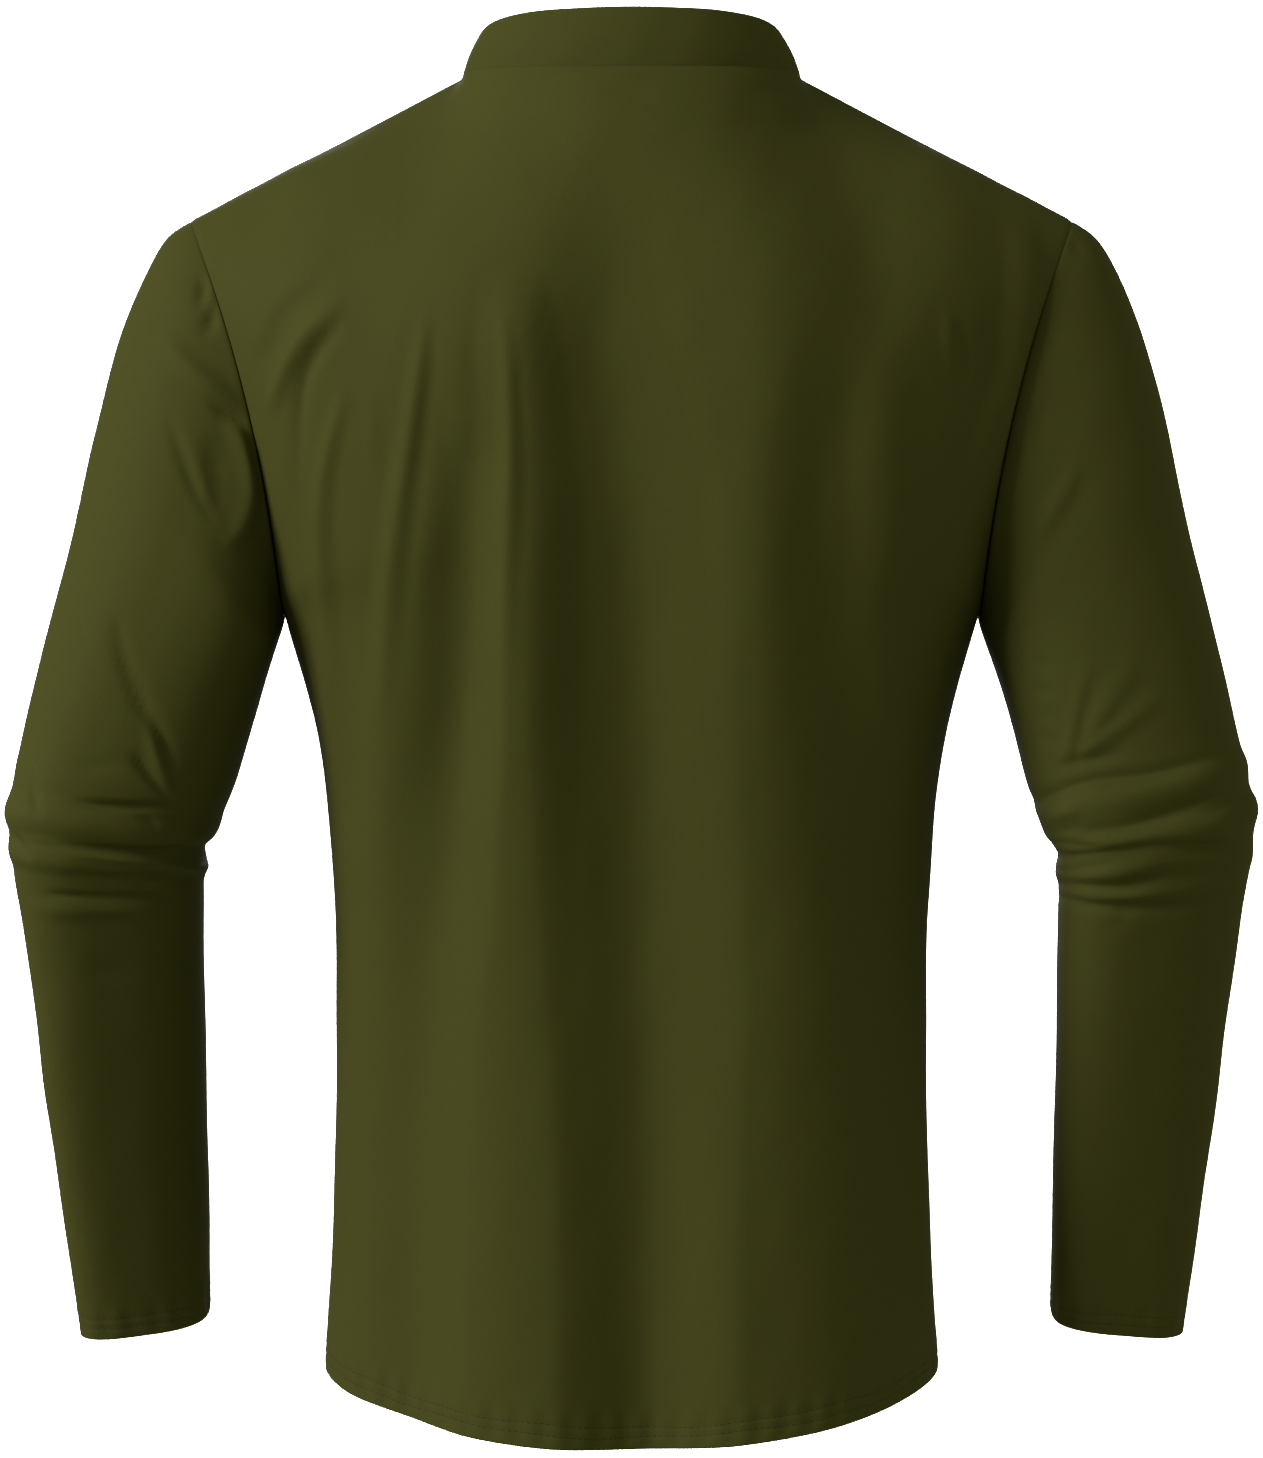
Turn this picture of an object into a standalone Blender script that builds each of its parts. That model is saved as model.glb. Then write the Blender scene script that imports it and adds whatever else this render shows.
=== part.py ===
"""A long-sleeved pullover shirt with a low stand collar, in stretch jersey, in the form it has when worn.

Five sewn pieces: back, front, two sleeves and a collar band folded double. Each is a cloth wall between an
outer and an inner skin, and the pieces stop just short of each other at the seams.
Metres. +Z is up and the front of the shirt faces -Y, so the wearer's left is +X. The origin is midway between
the two points where the shoulder seams meet the neck seam.
"""
import math
from collections import namedtuple

import bpy
import numpy as np

# Cloth
CLOTH_WALL = 0.0018
COLLAR_WALL = 0.0026
SEAM_GAP = 0.0003
SEAM_CALM = 0.022  # folds die away over this distance from a seam

# How finely the pieces are divided
SHOULDER_COLUMNS = 9
NECK_COLUMNS = 7
HALF_COLUMNS = SHOULDER_COLUMNS + NECK_COLUMNS
SIDE_ROWS = 14
LOWER_ARMHOLE_ROWS = 7
UPPER_ARMHOLE_ROWS = 5
ARMHOLE_ROWS = LOWER_ARMHOLE_ROWS + UPPER_ARMHOLE_ROWS
COLLAR_ROWS = 5

# Shoulders and armholes
NECK_POINT = np.array((0.0880, 0.0, -0.0010))
SHOULDER_TIP = np.array((0.2288, 0.0, -0.0755))
ARMPIT = np.array((0.1800, 0.0, -0.2810))
ARMHOLE_DEPTH = 0.060  # from the shoulder line to the back or the front of the armhole
ARMHOLE_SCOOP = 0.0095  # how far the armhole cuts in between the tip and the armpit
ARMHOLE_TURN = math.radians(48)  # how far the panels have turned outwards at mid armhole

# Hem
HEM_SIDE = -0.6710
HEM_DROP_BACK = 0.0300
HEM_DROP_FRONT = 0.0200
HEM_ROUND = 0.75

# Neck seam and collar top, back and front of the shoulder line
NECK_BACK = np.array((0.0, 0.0640, -0.0030))
NECK_FRONT = np.array((0.0, -0.0850, -0.0450))
NECK_TILT = 0.004
COLLAR_TOP_SIDE = np.array((0.0785, 0.0, 0.0187))
COLLAR_TOP_BACK = np.array((0.0, 0.0570, 0.0285))
COLLAR_TOP_FRONT = np.array((0.0, -0.0780, -0.0120))
COLLAR_TILT = 0.019
COLLAR_SWELL = 0.0015
NECK_REACH = 0.070  # how far from the neck seam the panels feel its direction
NECK_RISE_SIDE = 0.50  # how steeply the panels climb to the neck seam
NECK_RISE_MIDDLE = 1.10
NECK_BLEND = 4  # columns over which the shoulder's direction turns into the neck's
YOKE_EASING = 8  # times the cloth by the neck points is eased towards the mean of its neighbours
YOKE_EASED_COLUMNS = 6  # how far to each side of a neck point it is eased

BACK = 1
FRONT = -1

# The body at a few heights, measured at the side seam, from the hem up
Level = namedtuple("Level", "height half_width back front fullness")
BODY = (
    Level(-0.720, 0.1600, 0.107, 0.094, 0.60),
    Level(-0.671, 0.1590, 0.106, 0.096, 0.60),
    Level(-0.600, 0.1555, 0.103, 0.098, 0.60),
    Level(-0.500, 0.1534, 0.100, 0.100, 0.60),
    Level(-0.428, 0.1544, 0.102, 0.104, 0.60),
    Level(-0.376, 0.1583, 0.106, 0.109, 0.61),
    Level(-0.335, 0.1648, 0.110, 0.114, 0.62),
    Level(-0.281, 0.1800, 0.115, 0.121, 0.62),
    Level(-0.220, 0.1900, 0.119, 0.125, 0.62),
    Level(-0.150, 0.2000, 0.117, 0.119, 0.62),
    Level(-0.100, 0.2100, 0.109, 0.108, 0.62),
)

# The sleeve as ribs: each is an oval from its outer point to its inner point, seen from the front, with its
# depth behind and before its own middle, how far that middle lies back, how much lower it runs for each metre
# further back, how far its sides cut in, and the number of rows up to the next rib. The first is the armhole.
Rib = namedtuple("Rib", "outer_x outer_z inner_x inner_z back front shift lean scoop rows")
SLEEVE = (
    Rib(0.2288, -0.0755, 0.1800, -0.2810, 0.0600, 0.0600, 0.000, 0.00, 0.0095, 1),
    Rib(0.2415, -0.0855, 0.1808, -0.2835, 0.0610, 0.0605, 0.001, 0.00, 0.0070, 1),
    Rib(0.2520, -0.1035, 0.1816, -0.2865, 0.0620, 0.0605, 0.002, 0.00, 0.0045, 1),
    Rib(0.2610, -0.1260, 0.1826, -0.2895, 0.0625, 0.0600, 0.003, 0.00, 0.0020, 1),
    Rib(0.2695, -0.1540, 0.1838, -0.2930, 0.0620, 0.0595, 0.004, 0.00, 0.0005, 1),
    Rib(0.2768, -0.1850, 0.1850, -0.2970, 0.0610, 0.0590, 0.006, 0.00, 0.0000, 1),
    Rib(0.2845, -0.2220, 0.1866, -0.3015, 0.0600, 0.0585, 0.007, 0.00, 0.0000, 1),
    Rib(0.2935, -0.2620, 0.1893, -0.3100, 0.0585, 0.0580, 0.009, 0.00, 0.0000, 1),
    Rib(0.3010, -0.2930, 0.1930, -0.3225, 0.0575, 0.0570, 0.011, 0.00, 0.0000, 2),
    Rib(0.3088, -0.3240, 0.1995, -0.3470, 0.0560, 0.0560, 0.014, 0.00, 0.0000, 2),
    Rib(0.3137, -0.3453, 0.2044, -0.3660, 0.0550, 0.0550, 0.016, 0.00, 0.0000, 2),
    Rib(0.3170, -0.3590, 0.2078, -0.3765, 0.0550, 0.0550, 0.018, 0.00, 0.0000, 2),
    Rib(0.3187, -0.3700, 0.2112, -0.3850, 0.0545, 0.0550, 0.019, 0.00, 0.0000, 2),
    Rib(0.3216, -0.3830, 0.2149, -0.3935, 0.0540, 0.0545, 0.0210, 0.01, 0.0000, 2),
    Rib(0.3202, -0.3930, 0.2190, -0.4000, 0.0530, 0.0540, 0.0205, 0.02, 0.0000, 2),
    Rib(0.3191, -0.4050, 0.2203, -0.4090, 0.0520, 0.0530, 0.0180, 0.04, 0.0000, 2),
    Rib(0.3178, -0.4181, 0.2207, -0.4191, 0.0505, 0.0520, 0.0145, 0.06, 0.0000, 2),
    Rib(0.3158, -0.4332, 0.2208, -0.4312, 0.0490, 0.0505, 0.0105, 0.08, 0.0000, 2),
    Rib(0.3130, -0.4584, 0.2211, -0.4534, 0.0465, 0.0480, 0.0035, 0.10, 0.0000, 1),
    Rib(0.3096, -0.4908, 0.2213, -0.4842, 0.0440, 0.0450, -0.0055, 0.12, 0.0000, 1),
    Rib(0.3068, -0.5233, 0.2216, -0.5163, 0.0415, 0.0425, -0.0150, 0.13, 0.0000, 1),
    Rib(0.3033, -0.5580, 0.2218, -0.5505, 0.0390, 0.0400, -0.0255, 0.14, 0.0000, 1),
    Rib(0.2992, -0.5960, 0.2219, -0.5879, 0.0360, 0.0370, -0.0370, 0.15, 0.0000, 1),
    Rib(0.2955, -0.6310, 0.2223, -0.6234, 0.0335, 0.0345, -0.0475, 0.15, 0.0000, 1),
    Rib(0.2930, -0.6570, 0.2229, -0.6504, 0.0325, 0.0330, -0.0555, 0.15, 0.0000, 0),
)

# Folds: the line each follows, seen from the front or the back, with its half width and its height. A height
# below zero is a trough. Each starts and ends at nothing or at a free edge.
Knot = namedtuple("Knot", "x z half_width height")
BACK_FOLDS = {
    "long fold left of the middle": (
        Knot(0.0565, -0.125, 0.016, 0.0000),
        Knot(0.0560, -0.170, 0.020, 0.0030),
        Knot(0.0530, -0.206, 0.028, 0.0045),
        Knot(0.0480, -0.276, 0.044, 0.0065),
        Knot(0.0480, -0.376, 0.058, 0.0080),
        Knot(0.0490, -0.720, 0.064, 0.0090),
    ),
    "long fold right of the middle": (
        Knot(-0.0520, -0.105, 0.024, 0.0000),
        Knot(-0.0560, -0.160, 0.032, 0.0040),
        Knot(-0.0600, -0.276, 0.042, 0.0065),
        Knot(-0.0700, -0.400, 0.056, 0.0085),
        Knot(-0.0810, -0.476, 0.064, 0.0090),
        Knot(-0.0820, -0.720, 0.068, 0.0090),
    ),
    "slim fold by the left shoulder blade": (
        Knot(0.1015, -0.140, 0.012, 0.0000),
        Knot(0.1085, -0.206, 0.018, 0.0035),
        Knot(0.1165, -0.276, 0.020, 0.0040),
        Knot(0.1260, -0.350, 0.022, 0.0030),
        Knot(0.1350, -0.430, 0.022, 0.0000),
    ),
    "side fold on the left": (
        Knot(0.1400, -0.160, 0.014, 0.0000),
        Knot(0.1500, -0.220, 0.018, 0.0035),
        Knot(0.1515, -0.290, 0.018, 0.0035),
        Knot(0.1490, -0.360, 0.018, 0.0000),
    ),
    "fold on the right shoulder blade": (
        Knot(-0.1250, -0.150, 0.020, 0.0000),
        Knot(-0.1270, -0.200, 0.024, 0.0030),
        Knot(-0.1280, -0.290, 0.024, 0.0030),
        Knot(-0.1330, -0.380, 0.024, 0.0000),
    ),
}
FRONT_FOLDS = {
    "long fold under the left chest": (
        Knot(0.0700, -0.230, 0.026, 0.0000),
        Knot(0.0720, -0.330, 0.040, 0.0060),
        Knot(0.0680, -0.480, 0.052, 0.0075),
        Knot(0.0700, -0.720, 0.058, 0.0080),
    ),
    "long fold under the right chest": (
        Knot(-0.0620, -0.240, 0.026, 0.0000),
        Knot(-0.0600, -0.340, 0.038, 0.0055),
        Knot(-0.0640, -0.480, 0.050, 0.0075),
        Knot(-0.0660, -0.720, 0.056, 0.0080),
    ),
    "slim fold on the left side": (
        Knot(0.1350, -0.200, 0.016, 0.0000),
        Knot(0.1300, -0.280, 0.020, 0.0035),
        Knot(0.1320, -0.380, 0.020, 0.0000),
    ),
    "slim fold on the right side": (
        Knot(-0.1400, -0.190, 0.016, 0.0000),
        Knot(-0.1340, -0.290, 0.020, 0.0035),
        Knot(-0.1330, -0.400, 0.020, 0.0000),
    ),
}
SLEEVE_LEFT_BACK_FOLDS = {
    "crease running in towards the elbow": (
        Knot(0.2620, -0.285, 0.012, 0.0000),
        Knot(0.2540, -0.318, 0.014, -0.0025),
        Knot(0.2400, -0.345, 0.012, 0.0000),
    ),
    "upper elbow roll": (
        Knot(0.3250, -0.380, 0.011, 0.0020),
        Knot(0.2700, -0.387, 0.012, 0.0030),
        Knot(0.2100, -0.396, 0.011, 0.0015),
    ),
    "lower elbow roll": (
        Knot(0.3250, -0.404, 0.010, 0.0020),
        Knot(0.2700, -0.408, 0.011, 0.0030),
        Knot(0.2150, -0.412, 0.010, 0.0015),
    ),
    "last elbow roll": (
        Knot(0.3200, -0.430, 0.010, 0.0015),
        Knot(0.2800, -0.433, 0.011, 0.0022),
        Knot(0.2400, -0.434, 0.010, 0.0000),
    ),
}
SLEEVE_RIGHT_BACK_FOLDS = {
    "crease fanning up from the elbow": (
        Knot(-0.2160, -0.360, 0.012, 0.0000),
        Knot(-0.2290, -0.334, 0.013, 0.0022),
        Knot(-0.2420, -0.304, 0.013, 0.0000),
    ),
    "upper elbow roll": (
        Knot(-0.3250, -0.364, 0.011, 0.0015),
        Knot(-0.2700, -0.378, 0.012, 0.0030),
        Knot(-0.2100, -0.390, 0.011, 0.0018),
    ),
    "middle elbow roll": (
        Knot(-0.3260, -0.386, 0.011, 0.0015),
        Knot(-0.2700, -0.396, 0.011, 0.0025),
        Knot(-0.2150, -0.404, 0.010, 0.0015),
    ),
    "last elbow roll": (
        Knot(-0.3230, -0.420, 0.010, 0.0000),
        Knot(-0.2800, -0.428, 0.011, 0.0022),
        Knot(-0.2200, -0.424, 0.010, 0.0015),
    ),
}
SLEEVE_FRONT_FOLDS = {
    "upper roll in the crook of the elbow": (
        Knot(0.3200, -0.372, 0.011, 0.0015),
        Knot(0.2700, -0.380, 0.013, 0.0035),
        Knot(0.2100, -0.388, 0.011, 0.0020),
    ),
    "lower roll in the crook of the elbow": (
        Knot(0.3250, -0.398, 0.011, 0.0020),
        Knot(0.2700, -0.404, 0.013, 0.0035),
        Knot(0.2150, -0.408, 0.011, 0.0020),
    ),
}

JERSEY_COLOUR = (0.060, 0.062, 0.019, 1.0)
COLLAR_COLOUR = (0.056, 0.058, 0.018, 1.0)
JERSEY_ROUGHNESS = 0.55


def unit(vectors):
    """Vectors made one long."""
    return vectors / np.linalg.norm(vectors, axis=-1, keepdims=True)


def smooth_step(value):
    """0 to 1 with level ends."""
    value = np.clip(value, 0.0, 1.0)
    return value * value * (3.0 - 2.0 * value)


def hermite(start, end, start_slope, end_slope, t):
    """Cubic from start to end with the given slopes."""
    away = 2.0 * t**3 - 3.0 * t**2 + 1.0
    leave = t**3 - 2.0 * t**2 + t
    arrive = t**3 - t**2
    return away * start + (1.0 - away) * end + leave * start_slope + arrive * end_slope


def curve_through(places, values, at):
    """Smooth curve through values given at rising places, read at one place."""
    slopes = np.gradient(values, places, axis=0)
    i = int(np.clip(np.searchsorted(places, at) - 1, 0, len(places) - 2))
    span = places[i + 1] - places[i]
    t = (at - places[i]) / span
    return hermite(values[i], values[i + 1], slopes[i] * span, slopes[i + 1] * span, t)


def body_at(height):
    """The body's measures at a height."""
    table = np.array(BODY)
    return Level(height, *curve_through(table[:, 0], table[:, 1:], height))


def even_points(points, count):
    """Count + 1 points evenly spaced along a curve given by many points."""
    steps = np.linalg.norm(np.diff(points, axis=0), axis=1)
    along = np.concatenate(([0.0], np.cumsum(steps)))
    wanted = np.linspace(0.0, along[-1], count + 1)
    return np.stack([np.interp(wanted, along, points[:, axis]) for axis in range(3)], axis=1)


def swept(edge, middle, turn, fullness, side):
    """Points from a panel's edge to its middle line, on a curve that leaves the edge straight back or forward,
    turned towards the middle, and crosses the middle line square on."""
    reach = fullness * abs(middle[1] - edge[1]) / max(math.cos(turn), 0.5)
    leaving = edge + reach * np.array((-math.sin(turn), side * math.cos(turn), 0.0))
    arriving = middle + np.array((fullness * edge[0], 0.0, 0.0))
    t = np.linspace(0.0, 1.0, 81)[:, None]
    s = 1.0 - t
    return s**3 * edge + 3.0 * s**2 * t * leaving + 3.0 * s * t**2 * arriving + t**3 * middle


def armhole_point(angle, side):
    """Point on the left armhole, from -90 degrees at the armpit to 90 at the shoulder tip."""
    middle = (SHOULDER_TIP + ARMPIT) / 2.0
    reach = (SHOULDER_TIP - ARMPIT) / 2.0
    across = np.array((-ARMHOLE_SCOOP * math.cos(angle) ** 2, side * ARMHOLE_DEPTH * math.cos(angle), 0.0))
    return middle + reach * math.sin(angle) + across


def neck_ring(side_point, back, front, tilt, angle):
    """Point on a ring round the neck, 90 degrees at the back, -90 at the front and 0 at the left side."""
    lean = math.sin(angle)
    end = back if lean >= 0.0 else front
    sag = (end[2] - side_point[2]) - tilt * np.sign(lean)
    height = side_point[2] + tilt * lean + sag * lean * lean
    return np.array((side_point[0] * math.cos(angle), end[1] * abs(lean), height))


def neck_curve(side_point, back, front, tilt, side):
    """Points on a quarter of a neck ring, from the left side to the middle, evenly spaced."""
    angles = np.linspace(0.0, side * math.pi / 2.0, 61)
    points = np.array([neck_ring(side_point, back, front, tilt, angle) for angle in angles])
    return even_points(points, NECK_COLUMNS)


def top_row(side):
    """Half of a panel's top edge: along the shoulder seam, then round the neck seam to the middle."""
    shoulder = np.linspace(SHOULDER_TIP, NECK_POINT, SHOULDER_COLUMNS + 1)
    neck = neck_curve(NECK_POINT, NECK_BACK, NECK_FRONT, NECK_TILT, side)
    return np.concatenate((shoulder, neck[1:]))


def side_row(step, side):
    """Half of a row between the hem and the armpit."""
    up = step / SIDE_ROWS
    height = HEM_SIDE + (ARMPIT[2] - HEM_SIDE) * up
    body = body_at(height)
    depth = body.back if side == BACK else body.front
    drop = (HEM_DROP_BACK if side == BACK else HEM_DROP_FRONT) * (1.0 - up) ** 1.5
    edge = np.array((body.half_width, 0.0, height))
    middle = np.array((0.0, side * depth, height))
    row = swept(edge, middle, 0.0, body.fullness, side)
    row[:, 2] -= drop * (1.0 - np.clip(row[:, 0] / body.half_width, 0.0, 1.0) ** 2) ** HEM_ROUND
    return even_points(row, HALF_COLUMNS)


def lower_armhole_row(step, side):
    """Half of a row that ends on the armhole, up to where the shoulder begins to round over."""
    angle = -math.pi / 2.0 + math.pi * step / ARMHOLE_ROWS
    edge = armhole_point(angle, side)
    neck = NECK_BACK if side == BACK else NECK_FRONT
    height = ARMPIT[2] + (neck[2] - ARMPIT[2]) * step / ARMHOLE_ROWS
    body = body_at(height)
    depth = body.back if side == BACK else body.front
    turn = ARMHOLE_TURN * smooth_step(step / LOWER_ARMHOLE_ROWS)
    middle = np.array((0.0, side * depth, height))
    return even_points(swept(edge, middle, turn, body.fullness, side), HALF_COLUMNS)


def ways_over_the_top(top, last, span):
    """Directions in which the columns reach the top edge: straight over at the shoulder, and square to the
    neck seam round the neck."""
    over = np.zeros_like(top)
    over[:, 1] = (top[:, 1] - last[:, 1]) * span
    depth = abs(top[-1, 1])
    outward = unit(np.stack((top[:, 0] / NECK_POINT[0] ** 2, top[:, 1] / depth**2, np.zeros(len(top))), axis=1))
    rise = NECK_RISE_SIDE + (NECK_RISE_MIDDLE - NECK_RISE_SIDE) * np.abs(top[:, 1]) / depth
    inward = -outward * NECK_REACH
    inward[:, 2] = rise * NECK_REACH
    blend = smooth_step((np.arange(len(top)) - SHOULDER_COLUMNS + NECK_BLEND) / (2 * NECK_BLEND))[:, None]
    return over * (1.0 - blend) + inward * blend


def shoulder_rows(below, last, side):
    """Half rows from the last armhole row over the shoulder to the top edge."""
    top = top_row(side)
    leave = (last - below) * UPPER_ARMHOLE_ROWS
    arrive = ways_over_the_top(top, last, math.pi / ARMHOLE_ROWS * UPPER_ARMHOLE_ROWS)
    fade = (1.0 - np.arange(HALF_COLUMNS + 1) / HALF_COLUMNS)[:, None] ** 4
    rows = []
    for step in range(1, UPPER_ARMHOLE_ROWS + 1):
        row = hermite(last, top, leave, arrive, step / UPPER_ARMHOLE_ROWS)
        angle = math.pi / 2.0 - (UPPER_ARMHOLE_ROWS - step) * math.pi / ARMHOLE_ROWS
        rows.append(row + (armhole_point(angle, side) - row[0]) * fade)
    return rows


def both_halves(half):
    """A whole row from its left half."""
    return np.concatenate((half, (half * (-1.0, 1.0, 1.0))[-2::-1]))


def eased_at_neck_points(grid):
    """The grid with its points below the two neck points eased, so that the cloth runs smoothly round the neck."""
    first = SIDE_ROWS + LOWER_ARMHOLE_ROWS
    by_row = smooth_step((np.arange(len(grid)) - first + 2) / 3.0)[1:-1, None, None]
    from_middle = np.abs(np.arange(grid.shape[1]) - HALF_COLUMNS)
    away = np.abs(from_middle - NECK_COLUMNS) / YOKE_EASED_COLUMNS
    amount = by_row * smooth_step(1.0 - away)[None, 1:-1, None] / 2.0
    grid = grid.copy()
    for _ in range(YOKE_EASING):
        mean = (grid[:-2, 1:-1] + grid[2:, 1:-1] + grid[1:-1, :-2] + grid[1:-1, 2:]) / 4.0
        grid[1:-1, 1:-1] += (mean - grid[1:-1, 1:-1]) * amount
    return grid


def panel_grid(side):
    """Rows of points over the back or the front, from the hem to the shoulders and neck."""
    rows = [side_row(step, side) for step in range(SIDE_ROWS + 1)]
    rows += [lower_armhole_row(step, side) for step in range(1, LOWER_ARMHOLE_ROWS + 1)]
    rows += shoulder_rows(rows[-2], rows[-1], side)
    return eased_at_neck_points(np.array([both_halves(row) for row in rows]))


def rib_ring(rib):
    """Ring of points on one rib, starting at its outer point and going round by the back."""
    angles = np.arange(2 * ARMHOLE_ROWS) * math.pi / ARMHOLE_ROWS
    across = np.sin(angles)
    outer = np.array((rib.outer_x, rib.shift, rib.outer_z))
    inner = np.array((rib.inner_x, rib.shift, rib.inner_z))
    ring = (outer + inner) / 2.0 + np.cos(angles)[:, None] * (outer - inner) / 2.0
    back = across * np.where(across > 0.0, rib.back, rib.front)
    ring[:, 0] -= rib.scoop * across**2
    ring[:, 1] += back
    ring[:, 2] -= rib.lean * back
    return ring


def sleeve_grid(mirror):
    """Rings of points down a sleeve, from the armhole to the cuff."""
    table = np.array(SLEEVE)[:, :-1]
    places = np.arange(len(SLEEVE))
    rings = []
    for place, rib in enumerate(SLEEVE):
        for step in range(rib.rows):
            measures = curve_through(places, table, place + step / rib.rows)
            rings.append(rib_ring(Rib(*measures, 0)))
    rings.append(rib_ring(SLEEVE[-1]))
    return np.array(rings) * (mirror, 1.0, 1.0)


def collar_grid():
    """Rings of points up the collar, from the neck seam to its folded top edge."""
    seam = [neck_curve(NECK_POINT, NECK_BACK, NECK_FRONT, NECK_TILT, side) for side in (BACK, FRONT)]
    top = [neck_curve(COLLAR_TOP_SIDE, COLLAR_TOP_BACK, COLLAR_TOP_FRONT, COLLAR_TILT, side)
           for side in (BACK, FRONT)]
    rings = []
    for step in range(COLLAR_ROWS + 1):
        up = step / COLLAR_ROWS
        quarters = []
        for low, high in zip(seam, top):
            quarter = low + (high - low) * up
            outward = unit(quarter * (1.0, 1.0, 0.0))
            quarters.append(quarter + outward * COLLAR_SWELL * math.sin(math.pi * up))
        back, front = quarters
        ring = list(back)
        ring += [point * (-1.0, 1.0, 1.0) for point in back[-2::-1]]
        ring += [point * (-1.0, 1.0, 1.0) for point in front[1:]]
        ring += list(front[-2:0:-1])
        rings.append(ring)
    return np.array(rings)


def grid_normals(grid, closed, outward):
    """Directions square to a grid of points; outward is 1 or -1 as the grid runs."""
    if closed:
        along = np.roll(grid, -1, axis=1) - np.roll(grid, 1, axis=1)
    else:
        along = np.gradient(grid, axis=1)
    return unit(np.cross(along, np.gradient(grid, axis=0))) * outward


def fold_height(points, folds):
    """Height of a set of folds at points seen straight on."""
    place = points[..., (0, 2)]
    total = np.zeros(place.shape[:-1])
    for knots in folds.values():
        nearest = np.full(total.shape, np.inf)
        height = np.zeros(total.shape)
        for a, b in zip(knots, knots[1:]):
            start = np.array((a.x, a.z))
            run = np.array((b.x, b.z)) - start
            t = np.clip(((place - start) @ run) / (run @ run), 0.0, 1.0)
            away = np.linalg.norm(place - start - t[..., None] * run, axis=-1)
            away /= a.half_width + (b.half_width - a.half_width) * t
            closer = away < nearest
            height = np.where(closer, a.height + (b.height - a.height) * t, height)
            nearest = np.minimum(nearest, away)
        total += height * (1.0 - np.clip(nearest, 0.0, 1.0) ** 2) ** 2
    return total


def calm_near_seams(grid, closed, top_is_seam, low_is_seam):
    """1 away from the seams and 0 on them."""
    rows = np.linalg.norm(np.diff(grid, axis=0), axis=-1)
    from_low = np.concatenate((np.zeros_like(rows[:1]), np.cumsum(rows, axis=0)))
    calm = np.ones(grid.shape[:2])
    if low_is_seam:
        calm *= smooth_step(from_low / SEAM_CALM)
    if top_is_seam:
        calm *= smooth_step((from_low[-1] - from_low) / SEAM_CALM)
    if not closed:
        columns = np.linalg.norm(np.diff(grid, axis=1), axis=-1)
        from_side = np.concatenate((np.zeros_like(columns[:, :1]), np.cumsum(columns, axis=1)), axis=1)
        from_side = np.minimum(from_side, from_side[:, -1:] - from_side)
        calm *= smooth_step(from_side / SEAM_CALM)
    return calm


def folded(grid, outward, closed, back_folds, front_folds, top_is_seam, low_is_seam):
    """A grid with its folds raised along its own directions, those behind and those before it."""
    normals = grid_normals(grid, closed, outward)
    behind = smooth_step(normals[..., 1] + 0.5)
    height = behind * fold_height(grid, back_folds) + (1.0 - behind) * fold_height(grid, front_folds)
    height = height * calm_near_seams(grid, closed, top_is_seam, low_is_seam)
    return grid + normals * height[..., None]


# Where a piece is sewn: the seam's kind, its row or column of points, and the next one inside the piece.
Edge = namedtuple("Edge", "kind place beside")
EDGES = {
    "body": (
        Edge("side", np.s_[: SIDE_ROWS + 1, 0], np.s_[: SIDE_ROWS + 1, 1]),
        Edge("side", np.s_[: SIDE_ROWS + 1, -1], np.s_[: SIDE_ROWS + 1, -2]),
        Edge("shoulder", np.s_[-1, : SHOULDER_COLUMNS + 1], np.s_[-2, : SHOULDER_COLUMNS + 1]),
        Edge("shoulder", np.s_[-1, -SHOULDER_COLUMNS - 1 :], np.s_[-2, -SHOULDER_COLUMNS - 1 :]),
        Edge("armhole", np.s_[SIDE_ROWS:, 0], np.s_[SIDE_ROWS:, 1]),
        Edge("armhole", np.s_[SIDE_ROWS:, -1], np.s_[SIDE_ROWS:, -2]),
        Edge("neck", np.s_[-1, SHOULDER_COLUMNS:-SHOULDER_COLUMNS], np.s_[-2, SHOULDER_COLUMNS:-SHOULDER_COLUMNS]),
    ),
    "sleeve": (Edge("armhole", np.s_[0, :], np.s_[1, :]),),
    "collar": (Edge("neck", np.s_[0, :], np.s_[1, :]),),
}


class Piece:
    """One sewn piece: its grid of outer points, the group of pieces it belongs to, and how thick it is."""

    def __init__(self, name, group, grid, outward, wall):
        self.name = name
        self.group = group
        self.grid = grid
        self.closed = group != "body"
        self.outward = outward
        self.wall = wall
        self.edges = EDGES[group]
        self.normals = grid_normals(grid, self.closed, outward)


def seam_key(kind, point):
    """The same name for the same point of two pieces on one seam."""
    return (kind, *(np.round(point, 6) + 0.0))


def seam_normals(pieces):
    """The mean direction of the pieces that meet at each point of each seam: the back and the front count as
    one body, which then meets a sleeve or the collar."""
    sums = {}
    for piece in pieces:
        for edge in piece.edges:
            for point, normal in zip(piece.grid[edge.place], piece.normals[edge.place]):
                sides = sums.setdefault(seam_key(edge.kind, point), {})
                sides[piece.group] = sides.get(piece.group, 0.0) + normal
    return {key: unit(sum(unit(normal) for normal in sides.values())) for key, sides in sums.items()}


def edge_run(points, closed):
    """Mean direction of the two stretches that meet at each point of an edge."""
    stretches = unit(np.diff(points, axis=0))
    if closed:
        last = unit(points[:1] - points[-1:])
        return np.concatenate((last, stretches)) + np.concatenate((stretches, last))
    return np.concatenate((stretches[:1], stretches)) + np.concatenate((stretches, stretches[-1:]))


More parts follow.
